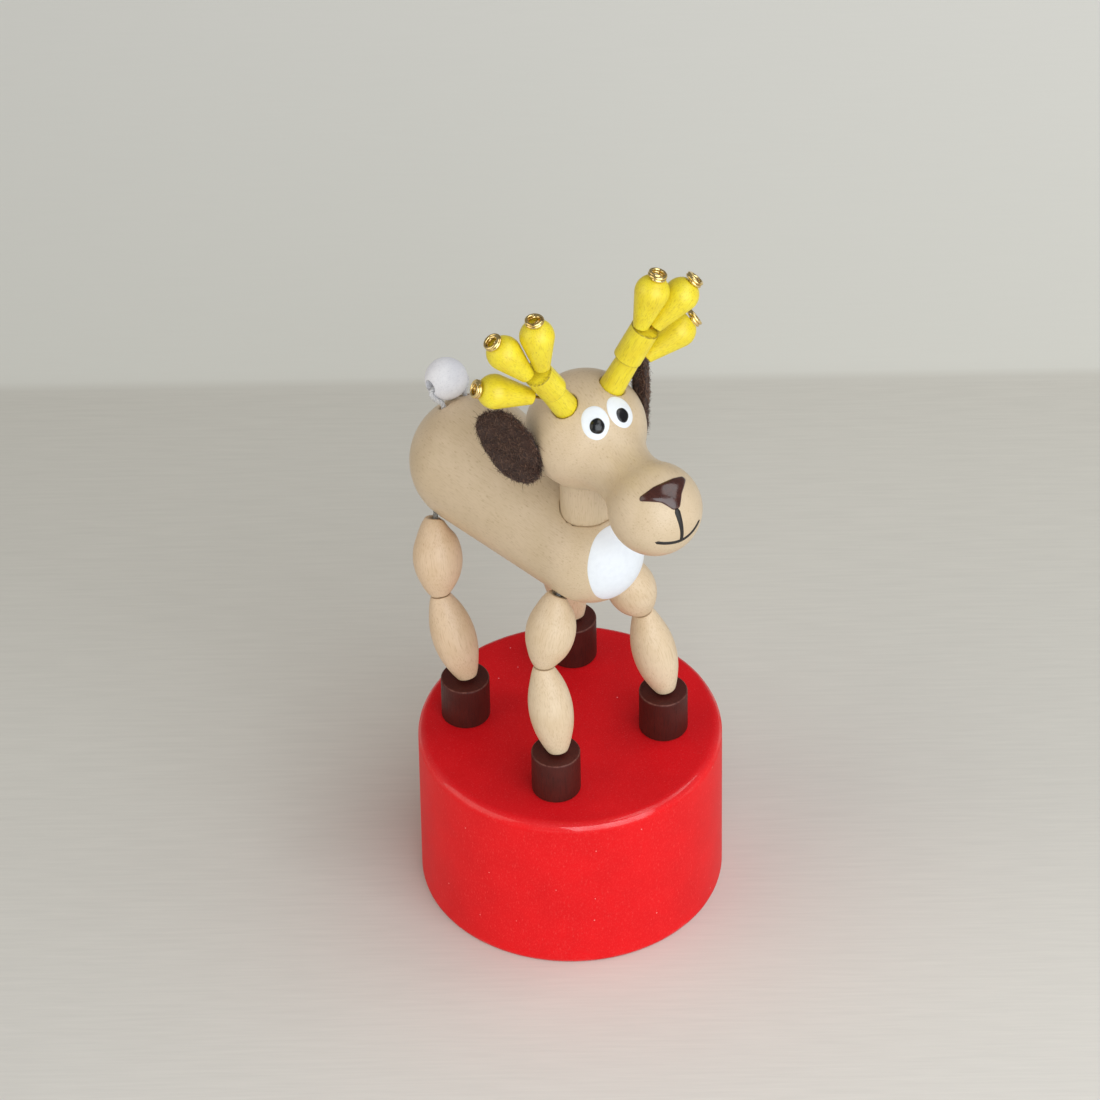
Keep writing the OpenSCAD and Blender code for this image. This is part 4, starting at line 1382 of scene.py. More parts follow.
@dataclass(frozen=True)
class Torso:
    """Turned body with its white bib, the tail ball and the neck."""

    stance: Stance
    way_d: float = 1.5
    way_depth: float = 1.6
    bib: Pair = (11.6, 13.4)
    bib_lift: float = 10.0
    bib_height: float = 0.14
    seat_snap: float = 0.15
    tail_hole_d: float = 2.3
    tail_edge_r: Pair = (0.12, 0.05)
    tail_way_off: float = 2.0
    tail_way_r: float = 0.63
    tail_way_depth: float = 1.2
    neck_way_at: Pair = (1.0, -5.0)
    neck_edge_r: float = 0.25
    neck_drop: float = 0.1
    neck_bore_d: float = 3.6
    neck_bore_edge_r: float = 0.2

    def tail_way(self, side: Side) -> Array:
        """Where the rear thread leaves the body, under the tail's edge."""
        out = math.sqrt(self.stance.body_r[1] ** 2 - self.tail_way_off**2) * self.stance.tail_dir
        return self.stance.body_centre(End.REAR) + side * self.tail_way_off * LEFTWARD + out

    def neck_way(self, side: Side) -> Array:
        """Where a front thread turns upright under the neck."""
        across, up = self.neck_way_at
        return self.stance.chest_seat + side * across * LEFTWARD + up * UP

    def turned_body(self) -> Surface:
        """Two balls and the cone that touches both, turned about the line through their centres.

        The neck's seat is planed flat, and the thread ways are drilled.

        Returns:
            The body in place.
        """
        s = self.stance
        rump, chest = s.body_centre(End.REAR), s.body_centre(End.FRONT)
        length = float(np.linalg.norm(chest - rump))
        slope = math.degrees(math.asin((s.body_r[1] - s.body_r[0]) / length))
        profile = np.vstack([
            arc_of((0, 0), s.body_r[1], 178.5, 90 - slope), arc_of((0, length), s.body_r[0], 90 - slope, 1.5),
        ])
        made = lathe(evenly(profile, 0.26), 260, caps=(True, True))
        made = made.placed(rump, axes_along(chest - rump, LEFTWARD))
        points = made.points
        away = points[:, :2] - s.chest_seat[:2]
        off = np.linalg.norm(away, axis=1)
        wall, above = s.neck_d / 2 + s.seat_rim, points[:, 2] > s.chest_seat[2]
        snap = above & (np.abs(off - wall) < self.seat_snap)
        points[:, 2] = np.where(above & (off < wall), s.chest_seat[2], points[:, 2])
        points[:, :2] += np.where(snap, wall / np.maximum(off, 0.1) - 1, 0)[:, None] * away
        for leg in LEGS:
            hip = s.thigh_top(leg)
            way = self.tail_way if leg.end is End.REAR else self.neck_way
            points = drilled(points, hip, unit(hip - way(leg.side)), self.way_d / 2, self.way_depth)
        for side in Side:
            hole = self.tail_way(side)
            out = unit(hole - s.thigh_top(Leg(End.REAR, side)))
            points = drilled(points, hole, out, self.tail_way_r, self.tail_way_depth)
        return replace(made, points=points)

    def white_bib(self) -> Surface:
        """Oval film of paint on the chest's ball.

        Returns:
            The bib in place.
        """
        s = self.stance
        outline = oval(*self.bib, 160, (3, 0.006, 1.0), (7, 0.004, 0.0))
        ball = Ball(s.body_centre(End.FRONT), s.body_r[0], facing(0, self.bib_lift))
        return film(outline, np.zeros(2), self.bib_height, ball.onto)

    def tail_ball(self) -> Surface:
        """Ball with a cross hole along X.

        Returns:
            The tail in place.
        """
        r, hole = self.stance.tail_d / 2, self.tail_hole_d / 2
        start = math.degrees(math.asin(hole / r))
        belly = arc_of((0, 0), r, 180 - start, start, 60)
        made = lathe(bead_profile(belly, hole - 0.01, *self.tail_edge_r), 110, loop_rows=True).grained()
        return made.placed(self.stance.tail, axes_along(LEFTWARD, UP))

    def neck(self) -> Surface:
        """Short drilled cylinder with rounded rims.

        Returns:
            The neck in place.
        """
        tall = self.stance.neck_length
        belly = np.stack([np.full(14, self.stance.neck_d / 2), np.linspace(-self.neck_drop, tall, 14)], -1)
        profile = bead_profile(belly, self.neck_bore_d / 2, self.neck_edge_r, self.neck_bore_edge_r)
        return lathe(profile, 140, loop_rows=True).grained().placed(self.stance.neck_foot, np.eye(3))

    def build(self) -> list[Made]:
        """Makes the body, bib, tail and neck on their bodies.

        Returns:
            The pieces.
        """
        return [
            riding(self.turned_body().piece("turned_body", TAN_PAINT), "torso", "body"),
            riding(self.white_bib().piece("white_bib", WHITE_ENAMEL), "torso", "chest_bib"),
            riding(self.tail_ball().piece("tail_ball", CHALK_WHITE), "tail", "tail_bead"),
            riding(self.neck().piece("neck_bead", TAN_PAINT), "neck", "neck"),
        ]


@dataclass(frozen=True)
class Ball:
    """A round surface that carries painted marks, seen along one direction."""

    centre: Array
    radius: float
    look: Array

    def onto(self, flat: Array, rise: Array) -> Array:
        """Drops plane points along the look onto the ball: x e1 + y e2 + (r^2 - x^2 - y^2)^0.5 look.

        Args:
            flat: Points in the mark's plane.
            rise: Height over the surface.

        Returns:
            Points in the ball's frame.
        """
        across = unit(np.array([-self.look[1], self.look[0], 0.0]))
        deep = np.sqrt(np.maximum(self.radius**2 - (flat**2).sum(-1), 0.01))[..., None]
        up = np.cross(self.look, across)
        way = unit(flat[..., :1] * across + flat[..., 1:] * up + deep * self.look)
        far = self.reach(way) + np.broadcast_to(rise, flat.shape[:2])
        return self.centre + far[..., None] * way

    def reach(self, way: Array) -> Array:
        """Distance of the surface from the centre along each direction."""
        return np.full(way.shape[:-1], self.radius)


@dataclass(frozen=True)
class Skull(Ball):
    """The head's ball with the hollow that leads down to the snout."""

    axis: Array
    bridge: Pair
    bridge_r: float

    def reach(self, way: Array) -> Array:
        """Ball, or the near side of the hollow's ring below its touching line.

        Args:
            way: Directions from the centre.

        Returns:
            Distance of the surface along each direction.
        """
        angle = np.arccos(np.clip(way @ self.axis, -1, 1))
        touch = math.atan2(self.bridge[0], self.bridge[1])
        far = math.hypot(*self.bridge)
        ahead = far * np.cos(angle - touch)
        hollow = ahead - np.sqrt(np.maximum(ahead**2 - far**2 + self.bridge_r**2, 0))
        return np.where(angle < touch, hollow, self.radius)


@dataclass(frozen=True)
class Head:
    """Turned head with its painted face and felt ears."""

    stance: Stance
    snout_r: float = 7.5
    snout_reach: float = 19.7
    bridge_r: float = 7.5
    pitch: float = 8.0
    stem_hole_in: float = 0.12
    stem_hole_depth: float = 1.5
    stem_hole_lip: float = 0.26
    eye: Pair = (4.5, 5.4)
    eye_at: Pair = (20.5, 45.3)
    pupil: Pair = (2.45, 2.548)
    pupil_at: Pair = (19.2, 41.8)
    pupil_height: Pair = (0.12, 0.55)
    pupil_dome: Pair = (4.0, 1.9)
    paint: float = 0.12
    nose_w: float = 8.0
    nose_lift: float = 46.0
    nose_paint: float = 0.3
    mouth_lift: float = -6.0
    mouth_line: float = 0.66
    smile_reach: float = 4.15
    smile_lift: Pair = (0.6, 1.25)
    smile_drop: float = 0.5
    lip_line: float = 5.45
    lip_paint: float = 0.16
    ear: tuple[float, float, float] = (9.6, 14.6, 1.4)
    ear_spot: float = 33.4
    ear_tilt: float = 28.0
    ear_rise: float = 0.5
    ear_lead: float = 3.8
    ear_bite: float = 1.0
    ear_swell: float = 0.8
    ear_gap: float = 0.05
    ear_trim: float = 0.955
    ear_square: float = 2.3
    ear_lumps: float = 0.1
    ear_pinch: float = 0.55
    pinch_reach: float = 2.2
    hair_count: int = 5000
    hair_r: float = 0.055
    hair_length: Pair = (0.4, 1.1)
    stray_share: float = 0.03
    stray_stretch: float = 1.7

    @property
    def axis(self) -> Array:
        """Direction of the snout in the head's frame."""
        return facing(0, -self.pitch)

    @property
    def bridge(self) -> Pair:
        """Distance off and along the axis of the hollow's centre, from the sides of a triangle.

        Returns:
            Distance off the axis and along it.
        """
        skull, snout = self.stance.skull_r + self.bridge_r, self.snout_r + self.bridge_r
        along = (self.snout_reach**2 + skull**2 - snout**2) / (2 * self.snout_reach)
        return math.sqrt(skull**2 - along**2), along

    @property
    def ear_span(self) -> float:
        """Extent of the tilted ear from front to back: (width^2 cos^2 + length^2 sin^2)^0.5."""
        tilt = math.radians(self.ear_tilt)
        return math.hypot(self.ear[0] * math.cos(tilt), self.ear[1] * math.sin(tilt))

    def skull_ball(self, turn: float, lift: float) -> Skull:
        """The skull as a carrier of marks at a turn and lift."""
        look = facing(turn, lift)
        return Skull(np.zeros(3), self.stance.skull_r, look, self.axis, self.bridge, self.bridge_r)

    def snout_ball(self, lift: float) -> Ball:
        """The snout as a carrier of marks at a lift."""
        return Ball(self.snout_reach * self.axis, self.snout_r, facing(0, lift))

    def turned_head(self, stems: Sequence[Array]) -> Surface:
        """Skull, hollow and snout as three arcs about the head's axis, with the antlers' holes drilled.

        Args:
            stems: Directions of the antlers.

        Returns:
            The head in its own frame.
        """
        s = self.stance
        off, along = self.bridge
        skull_touch = math.degrees(math.atan2(off, along))
        snout_touch = 180 - math.degrees(math.atan2(off, self.snout_reach - along))
        profile = np.vstack([
            arc_of((0, 0), s.skull_r, 178.5, skull_touch),
            arc_of((off, along), self.bridge_r, 180 + skull_touch, 180 + snout_touch),
            arc_of((0, self.snout_reach), self.snout_r, snout_touch, 1.5),
        ])
        made = lathe(evenly(profile, 0.2), 300, caps=(True, True))
        made = made.placed(np.zeros(3), axes_along(self.axis, LEFTWARD))
        points = made.points
        seat = -math.sqrt(s.skull_r**2 - s.seat_r**2)
        away = np.hypot(points[:, 0], points[:, 1])
        planed = (away < s.seat_r + s.seat_rim) & (points[:, 2] < seat)
        points[:, 2] = np.where(planed, seat, points[:, 2])
        hole = s.stem_d / 2 - self.stem_hole_in
        for stem in stems:
            points = drilled(points, s.skull_r * stem, stem, hole, self.stem_hole_depth, self.stem_hole_lip)
        return replace(made, points=points)

    def dab(self, size: Pair, rough: float, spin: float) -> Array:
        """Outline of a dab of paint, whose edge waves by a rough share from a spin in radians."""
        return oval(*size, 128, (3, rough, spin), (5, 0.6 * rough, 2 * spin))

    def nose(self) -> Surface:
        """Triangle of thick paint with drawn-in sides, its outline eased by a short mean.

        Returns:
            The nose in the head's frame.
        """
        corners = self.nose_w * np.array([
            (-0.57, 0.25), (-0.25, 0.06), (-0.07, -0.18), (0.07, -0.18), (0.24, 0.06),
            (0.53, 0.28), (0.49, 0.36), (0.22, 0.4), (-0.22, 0.4), (-0.53, 0.33), (-0.57, 0.25),
        ])
        edge = evenly(corners, 0.1)[:-1]
        edge = np.mean([np.roll(edge, k, 0) for k in range(-3, 4)], axis=0)
        middle = np.array([0.0, 0.2 * self.nose_w])
        return film(edge, middle, self.nose_paint, self.snout_ball(self.nose_lift).onto)

    def mouth(self) -> Surface:
        """A smile that rises as |t|^1.7 to both ends and a line from the nose that thins on its way down.

        Returns:
            The mouth in the head's frame.
        """
        onto = self.snout_ball(self.mouth_lift).onto
        t = np.linspace(-1, 1, 90)
        lift = np.where(t < 0, *self.smile_lift) * np.abs(t) ** 1.7
        smile = np.stack([self.smile_reach * t, lift - self.smile_drop], -1)
        ends = np.clip((1 - np.abs(t)) / 0.06, 0.25, 1)
        drop = np.linspace(self.lip_line - self.smile_drop, -self.smile_drop, 50)
        lip = np.stack([0.05 * np.sin(drop), drop], -1)
        thick = np.interp(np.linspace(0, 1, 50), [0, 0.08, 0.3, 0.6, 1], [0.6, 1.0, 0.85, 0.66, 0.6])
        return Surface.joined([
            stroke(smile, self.mouth_line * ends, self.paint, onto), stroke(lip, thick, self.lip_paint, onto),
        ])

    def ear_axes(self, side: Side) -> tuple[Array, Array]:
        """Place of an ear's middle and its axes: across, along and outwards, in the head's frame.

        Args:
            side: Left or right.

        Returns:
            The middle, and the axes in rows.
        """
        tilt, spot = math.radians(self.ear_tilt), -side * self.ear_spot
        back = self.ear_lead + self.ear_span / 2
        seat = math.sqrt((self.stance.skull_r + self.ear_gap) ** 2 - (self.ear_lead + self.ear_bite) ** 2)
        middle = turned_about_up(np.array([side * (seat + self.ear[2] / 2), back, self.ear_rise]), spot)
        out = turned_about_up(side * LEFTWARD, spot)
        along = turned_about_up(np.array([0, math.sin(tilt), math.cos(tilt)]), spot)
        return middle, axes_along(out, np.cross(along, out))

    def ear_pad(self, side: Side) -> Surface:
        """Felt oval with squarish ends: both faces rise as (1 - s^4)^0.5 from its edge.

        The outer face has slow lumps and is pinched toward its foremost point.

        Args:
            side: Left or right.

        Returns:
            The ear flat in its own axes.
        """
        width, length, thick = self.ear
        a, power = full_turn(200), self.ear_square
        square = (np.abs(np.cos(a)) ** power + np.abs(np.sin(a)) ** power) ** (-1 / power)
        outline = oval(width, length, len(a), (3, 0.018, 0.6), (5, 0.014, 2.0), (11, 0.008, 0.0))
        edge = self.ear_trim * outline * square[:, None]
        share = np.sin(np.linspace(0.03, np.pi / 2, 34))
        s = np.concatenate([share, share[-2::-1]])
        outer = np.arange(len(s)) >= len(share)
        deep = np.where(outer, thick / 2, -thick / 2 - self.ear_swell)
        rise = deep * np.sqrt(np.maximum(1 - s**4, 0))
        flat = s[:, None, None] * edge
        lumps = self.ear_lumps * np.sin(1.5 * flat[..., 0] + 0.7) * np.sin(1.1 * flat[..., 1])
        tilt = math.radians(self.ear_tilt)
        ahead = np.array([-side * math.cos(tilt) * width**2, -math.sin(tilt) * length**2])
        off = ((flat - 0.9 * ahead / (2 * self.ear_span)) ** 2).sum(-1)
        pinch = self.ear_pinch * np.exp(-(off / self.pinch_reach**2))
        high = rise[:, None] + outer[:, None] * (lumps - pinch)
        return grid(np.concatenate([flat, high[..., None]], -1), caps=(True, True)).grained()

    def pressed(self, pad: Surface) -> Surface:
        """Pushes what would lie inside the skull out to its surface, where the ear is glued."""
        far = np.linalg.norm(pad.points, axis=1, keepdims=True)
        return replace(pad, points=pad.points * np.maximum(1, (self.stance.skull_r + 0.02) / far))

    def ear_hair(self, pad: Surface) -> Surface:
        """Loose wool on the ear: hairs from random points of the pad, combed along it and curling.

        Args:
            pad: The ear's pad in its own axes.

        Returns:
            The hairs in the same axes, each with its own tone.
        """
        width, length, thick = self.ear
        count = self.hair_count
        scale = np.array([2 / width, 2 / length, 1.2 / thick])
        picked = DICE.choice(len(pad.points), count)
        roots = pad.points[picked] + DICE.normal(0, 0.12, (count, 3)) * np.array([1, 1, 0.2])
        normal = unit(roots * scale**2)
        a = DICE.normal(np.pi / 2, 0.75, count) + np.pi * DICE.integers(0, 2, count)
        comb = np.stack([np.cos(a), np.sin(a), 0 * a], -1)
        comb = unit(comb - (comb * normal).sum(-1, keepdims=True) * normal)
        ways = unit(DICE.uniform(0.08, 0.5, (count, 1)) * normal + comb)
        bends = 0.5 * unit(np.cross(ways, DICE.normal(size=roots.shape))) - 0.2 * normal
        lengths = DICE.uniform(*self.hair_length, count)
        lengths = lengths * np.where(DICE.random(count) < self.stray_share, self.stray_stretch, 1.0)
        made = fibres(roots - 0.06 * normal, ways, bends, lengths, self.hair_r)
        tone = DICE.uniform(0, 1, count) ** 2
        made.marks["tone"] = np.repeat(tone, len(made.points) // count)
        return made

    def build(self, stems: Sequence[Array]) -> list[Made]:
        """Makes the head, its face and its ears, all on the head's body.

        Args:
            stems: Directions of the antlers in the head's frame.

        Returns:
            The pieces.
        """
        s = self.stance
        made = [on_head(self.turned_head(stems), s, "turned_head", TAN_PAINT, "head")]
        for side in Side:
            word, at = side.word, side.place
            eye = self.skull_ball(side * self.eye_at[0], self.eye_at[1])
            white = film(self.dab(self.eye, 0.012, side + 2), np.zeros(2), self.paint, eye.onto)
            made.append(on_head(white, s, f"eye_{word}", WHITE_ENAMEL, f"{word}_eye_white"))
            dot = self.skull_ball(side * self.pupil_at[0], self.pupil_at[1])
            outline, tall = self.dab(self.pupil, 0.02, 3 - side), self.pupil_height[at] + self.paint
            drop = film(outline, np.zeros(2), tall, dot.onto, self.pupil_dome[at])
            made.append(on_head(drop, s, f"pupil_{word}", BLACK_ENAMEL, f"{word}_pupil"))
            pad = self.ear_pad(side)
            middle, axes = self.ear_axes(side)
            felt = self.pressed(pad.placed(middle, axes))
            made.append(on_head(felt, s, f"felt_ear_{word}", BROWN_FELT, f"{word}_ear"))
            wool = self.ear_hair(pad).placed(middle, axes)
            made.append(on_head(wool, s, f"ear_wool_{word}", FELT_HAIR, f"{word}_ear"))
        made.append(on_head(self.nose(), s, "painted_nose", NOSE_ENAMEL, "nose_paint"))
        made.append(on_head(self.mouth(), s, "painted_mouth", BLACK_LINE, "mouth_paint"))
        return made


@dataclass(frozen=True)
class Antlers:
    """Two antlers, each of two stems, three teardrop tines and their brass curls."""

    stance: Stance
    stem_length: float = 5.7
    stem_sunk: float = 1.4
    stem_taper: float = 0.5
    crown_d: float = 4.7
    crown_length: float = 6.3
    crown_step: float = 0.4
    cut_rim: float = 0.22
    lean_out: Pair = (24.2, 30.8)
    lean_forward: Pair = (12.4, 8.2)
    fan_turn: Pair = (-7.0, 17.0)
    fan_angles: tuple[tuple[float, ...], tuple[float, ...]] = ((18, 46, 62), (6.5, 34, 67))
    crown_spots: Pair = (-0.45, 0.62)
    side_spot: float = 0.4
    tine_length: float = 10.1
    tine_d: float = 5.6
    tine_end: float = 2.5
    tine_swell: float = 6.7
    tine_crop: float = 0.9
    tine_edge_r: Pair = (0.16, 0.1)
    tine_rim: float = 0.2
    pin_hole_d: float = 0.9
    wire_d: float = 0.55
    curl_d: float = 3.1
    curl_turns: float = 2.35
    curl_start: float = 0.1
    curl_open: float = 1.4
    curl_close: float = 1.9
    curl_tuck: float = 0.45
    curl_pitch: float = 1.05
    curl_climb: Pair = (2.5, 10.5)
    pin_depth: float = 1.8
    glue: float = 0.05

    def stem_dir(self, side: Side) -> Array:
        """Direction of an antler in the head's frame."""
        return lean(-side, -self.lean_forward[side.place], self.lean_out[side.place])

    def fan_out(self, side: Side) -> Array:
        """Level direction in which an antler's fan opens."""
        turn = math.radians(self.fan_turn[side.place])
        return np.array([side * math.cos(turn), math.sin(turn), 0])

    def across(self, side: Side) -> Array:
        """The fan's direction, square to the stem."""
        stem, out = self.stem_dir(side), self.fan_out(side)
        return unit(out - (out @ stem) * stem)

    def crown_foot(self, side: Side) -> Array:
        """Middle of the crown's lower face."""
        reach = self.stance.skull_r + self.stem_length + self.glue
        return reach * self.stem_dir(side) - self.crown_step * self.across(side)

    def tine_dir(self, side: Side, i: int) -> Array:
        """Direction of a tine."""
        a = math.radians(self.fan_angles[side.place][i])
        return math.cos(a) * UP + math.sin(a) * self.fan_out(side)

    def tine_foot(self, side: Side, i: int) -> Array:
        """Middle of a tine's narrow end: two on the crown's top and one at its side.

        Args:
            side: Left or right.
            i: The tine's number from 0, the last one at the side.

        Returns:
            The point in the head's frame.
        """
        stem, out, way = self.stem_dir(side), self.across(side), self.tine_dir(side, i)
        foot = self.crown_foot(side)
        if i < 2:
            lift = self.tine_end / 2 * np.linalg.norm(np.cross(stem, way)) + self.glue
            return foot + (self.crown_length + lift) * stem + self.crown_spots[i] * self.tine_end * out
        reach = self.crown_d / 2 + self.tine_end / 2 * abs(stem @ way) + self.glue
        return foot + self.side_spot * stem + reach * out

    def dowel(self, diameter: float, length: float, taper: float) -> Surface:
        """Cut dowel with slightly broken edges, turned about Z.

        Args:
            diameter: Its diameter at the foot.
            length: Its length.
            taper: How much thinner it is at the top.

        Returns:
            The dowel with its foot at the origin.
        """
        r, top = diameter / 2, (diameter - taper) / 2
        hub, edge, rim = 0.2, 0.1, 0.3
        sides = np.concatenate([[rim], np.linspace(2 * rim, length - 2 * rim, 8), [length - rim]])
        side = [(r + (top - r) * z / length, z, 0) for z in sides]
        corners = [(hub, 0, 0), (r, 0, edge), *side, (top, length, edge), (hub, length, 0)]
        made = lathe(rounded(corners), 96, caps=(True, True))
        # Marks the rims for darker stain and a painted shade in the seams
        return rimmed(made, (r + top) / 2, length, self.cut_rim).grained()

    def tine(self) -> Surface:
        """Teardrop bead: a cone from the narrow end that runs into a ball, cropped flat and drilled.

        Returns:
            The tine along Z with its narrow end at the origin.
        """
        ball, tip = self.tine_d / 2, self.tine_length - self.tine_crop
        slope = math.degrees(math.asin((ball - self.tine_end / 2) / self.tine_swell))
        stop = math.degrees(math.acos((tip - self.tine_swell) / ball))
        round_end = arc_of((0, self.tine_swell), ball, 90 + slope, stop, 40)
        belly = np.vstack([evenly(np.vstack([[self.tine_end / 2, 0], round_end[0]]), 0.35)[:-1], round_end])
        made = lathe(bead_profile(belly, self.pin_hole_d / 2, *self.tine_edge_r), 96, loop_rows=True)
        # Marks the narrow end's rim for darker stain and a painted shade where it meets the crown
        return rimmed(made, self.tine_end / 2, 0.0, self.tine_rim).grained()

    def curl(self) -> Surface:
        """Brass pin: a shank, then two turns of wire whose end turns inwards.

        Returns:
            The pin along the tine's own axis.
        """
        ring, wire = (self.curl_d - self.wire_d) / 2, self.wire_d / 2
        foot = self.tine_length - self.tine_crop + self.glue + wire
        stop = 2 * np.pi * self.curl_turns
        a = np.linspace(0, stop, 180)
        opening = self.curl_start + (1 - self.curl_start) * soft_step(a, 0, self.curl_open)
        closing = 1 - self.curl_tuck * soft_step(a, 2 * np.pi * self.curl_close, stop)
        r = ring * opening * closing
        z = foot + self.curl_pitch * self.wire_d * soft_step(a, *self.curl_climb)
        coil = np.stack([r * np.cos(a + 1), r * np.sin(a + 1), z], -1)
        shank = np.array([[*coil[0, :2], -self.pin_depth], [*coil[0, :2], foot]])
        return Surface.joined([tube(shank, wire, 14, LEFTWARD), tube(coil, wire, 14, UP)])

    def build(self) -> list[Made]:
        """Makes both antlers on the head's body.

        Returns:
            The pieces.
        """
        s, made = self.stance, []
        for side in Side:
            stem, word, level = self.stem_dir(side), side.word, np.cross(UP, self.fan_out(side))
            axes = axes_along(stem, self.across(side))
            lower = self.dowel(s.stem_d, self.stem_sunk + self.stem_length, self.stem_taper)
            lower = lower.placed((s.skull_r - self.stem_sunk) * stem, axes)
            upper = self.dowel(self.crown_d, self.crown_length, 0.0).placed(self.crown_foot(side), axes)
            made.append(on_head(lower, s, f"antler_stem_{word}", YELLOW_STAIN, f"{word}_antler_stem"))
            made.append(on_head(upper, s, f"antler_crown_{word}", YELLOW_STAIN, f"{word}_antler_crown"))
            for i in range(3):
                place = self.tine_foot(side, i), axes_along(self.tine_dir(side, i), level)
                tine, curl = self.tine().placed(*place), self.curl().grained().placed(*place)
                made.append(on_head(tine, s, f"tine_{word}_{i + 1}", YELLOW_STAIN, f"{word}_tine_{i + 1}"))
                made.append(on_head(curl, s, f"curl_{word}_{i + 1}", BRASS, f"{word}_pin_{i + 1}"))
        return made


@dataclass(frozen=True)
class Works:
    """What makes the puppet move: button, spring, knots and threads."""

    stance: Stance
    torso: Torso
    roof_z: float = 24.0
    button_foot: float = 5.0
    button_top: float = 13.0
    button_r: float = 20.0
    button_travel: float = 5.5
    spring_d: float = 18.0
    spring_wire: float = 1.0
    spring_seat: float = 1.0
    spring_turns: int = 5
    spring_end_pitch: float = 1.5
    thread_d: float = 0.9
    knot_d: float = 3.0
    knot_inset: Pair = (4.64, 2.63)
    near: float = 0.6
    far: float = 2.0
    bend_room: float = 0.3
    hip_lap: Pair = (0.3, 0.45)
    hip_room: Pair = (0.2, 0.5)
    hip_reach: Pair = (0.4, 4.0)
    neck_room: float = 0.4
    head_room: Pair = (0.4, 0.5)
    tail_room: Pair = (0.3, 1.1)
    tail_clear: float = 0.03
    tail_ease: float = 0.35
    head_bore: float = 10.0
    tail_wrap: tuple[float, ...] = (-56.0, -42.0, -28.0)
    tail_lip: tuple[Pair, ...] = ((3.72, -1.15), (3.5, -0.72), (3.0, -0.62), (2.2, -0.6))

    def spring(self) -> Surface:
        """Wire helix whose first and last turns lie close, while the middle turns share the other height.

        Returns:
            The spring in place.
        """
        foot = self.button_top - self.spring_seat
        free = self.roof_z - foot - self.spring_wire - 2 * self.spring_end_pitch
        n = np.linspace(0, self.spring_turns, 60 * self.spring_turns + 1)
        last = self.spring_turns - 1
        heights = np.cumsum([0, self.spring_end_pitch, free, self.spring_end_pitch])
        rise = np.interp(n, [0, 1, last, last + 1], heights)
        r = (self.spring_d - self.spring_wire) / 2
        a = 2 * np.pi * n
        path = np.stack([r * np.cos(a), r * np.sin(a), foot + self.spring_wire / 2 + rise], -1)
        return tube(path, self.spring_wire / 2, 14, UP)

    def knot_spot(self, leg: Leg) -> Array:
        """Middle of a knot's pocket at the floor's level."""
        return (self.button_r - self.knot_inset[leg.end]) * unit(self.stance.hoof_spot(leg))

    def knot(self, leg: Leg) -> Surface:
        """Overhand knot: the closed curve (2 + cos 3a) (cos 2a, sin 2a), as high as sin 3a, with a tail.

        Args:
            leg: The leg whose thread it ends.

        Returns:
            The knot and the thread above it through the button.
        """
        a = full_turn(130)
        size, out = (self.knot_d - self.thread_d) / 6, 2 + np.cos(3 * a)
        loop = size * np.stack([out * np.cos(2 * a), out * np.sin(2 * a), 1.3 * np.sin(3 * a)], -1)
        spot = self.knot_spot(leg)
        middle = spot + (self.button_foot + self.knot_d / 2) * UP
        up = np.linspace(self.button_foot + self.knot_d / 2, self.button_top, 40)[:, None] * UP
        return Surface.joined([
            yarn(middle + loop, self.thread_d / 2 * 0.9, np.array([0.02, 0.01, 1.0]), loop=True),
            yarn(spot + up, self.thread_d / 2, BACKWARD),
        ])

    def strand(self, points: Sequence[Array]) -> Surface:
        """Thread along points with eased bends."""
        return yarn(eased(points), self.thread_d / 2, BACKWARD)

    def leg_threads(self, leg: Leg) -> list[Made]:
        """Thread of one leg, in stretches that bend at the ankle and the knee.

        Args:
            leg: The leg.

        Returns:
            The stretches.
        """
        s, name = self.stance, leg.word
        node = "rear_thread" if leg.end is End.REAR else f"{name}_thread"
        hoof, shin, thigh = s.hoof_spot(leg), s.shin_dir(leg), s.thigh_dir(leg)
        foot, top = s.shin_foot(leg), s.shin_top(leg)
        knee, hip = s.thigh_foot(leg), s.thigh_top(leg)
        half_shin, half_thigh = (foot + top) / 2, (knee + hip) / 2
        roof, sole = hoof + self.roof_z * UP, hoof + s.hoof_top * UP
        slack = self.strand([self.knot_spot(leg) + self.button_top * UP, roof])
        ankle = self.strand([
            roof, sole - self.far * UP, sole - self.near * UP, foot + self.near * shin, half_shin,
        ])
        bend = self.strand([
            half_shin, top - self.far * shin, top - self.near * shin, knee + self.near * thigh, half_thigh,
        ])
        made = []
        loose = slack.piece(f"slack_thread_{name}", GREY_THREAD)
        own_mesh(loose)
        made.append(riding(loose, "base", node))
        made.append(bending(
            ankle.piece(f"ankle_thread_{name}", GREY_THREAD), "base", f"{name}_shin",
            sole - self.bend_room * UP, foot + self.bend_room * shin, node,
        ))
        made.append(bending(
            bend.piece(f"knee_thread_{name}", GREY_THREAD), f"{name}_shin", f"{name}_thigh",
            top - self.bend_room * shin, knee + self.bend_room * thigh, node,
        ))
        if leg == (End.FRONT, Side.LEFT):
            way = unit(self.torso.neck_way(leg.side) - hip)
            inside = hip + self.hip_reach[1] * way
            reach = self.strand([half_thigh, hip - self.near * thigh, hip + self.near * way, inside])
            made.append(bending(
                reach.piece(f"hip_thread_{name}", GREY_THREAD), f"{name}_thigh", "torso",
                hip - self.hip_room[0] * thigh, hip + self.hip_room[1] * way, node,
            ))
        else:
            reach = self.strand([half_thigh, hip + self.hip_lap[1] * thigh])
            made.append(riding(reach.piece(f"hip_thread_{name}", GREY_THREAD), f"{name}_thigh", node))
        return made

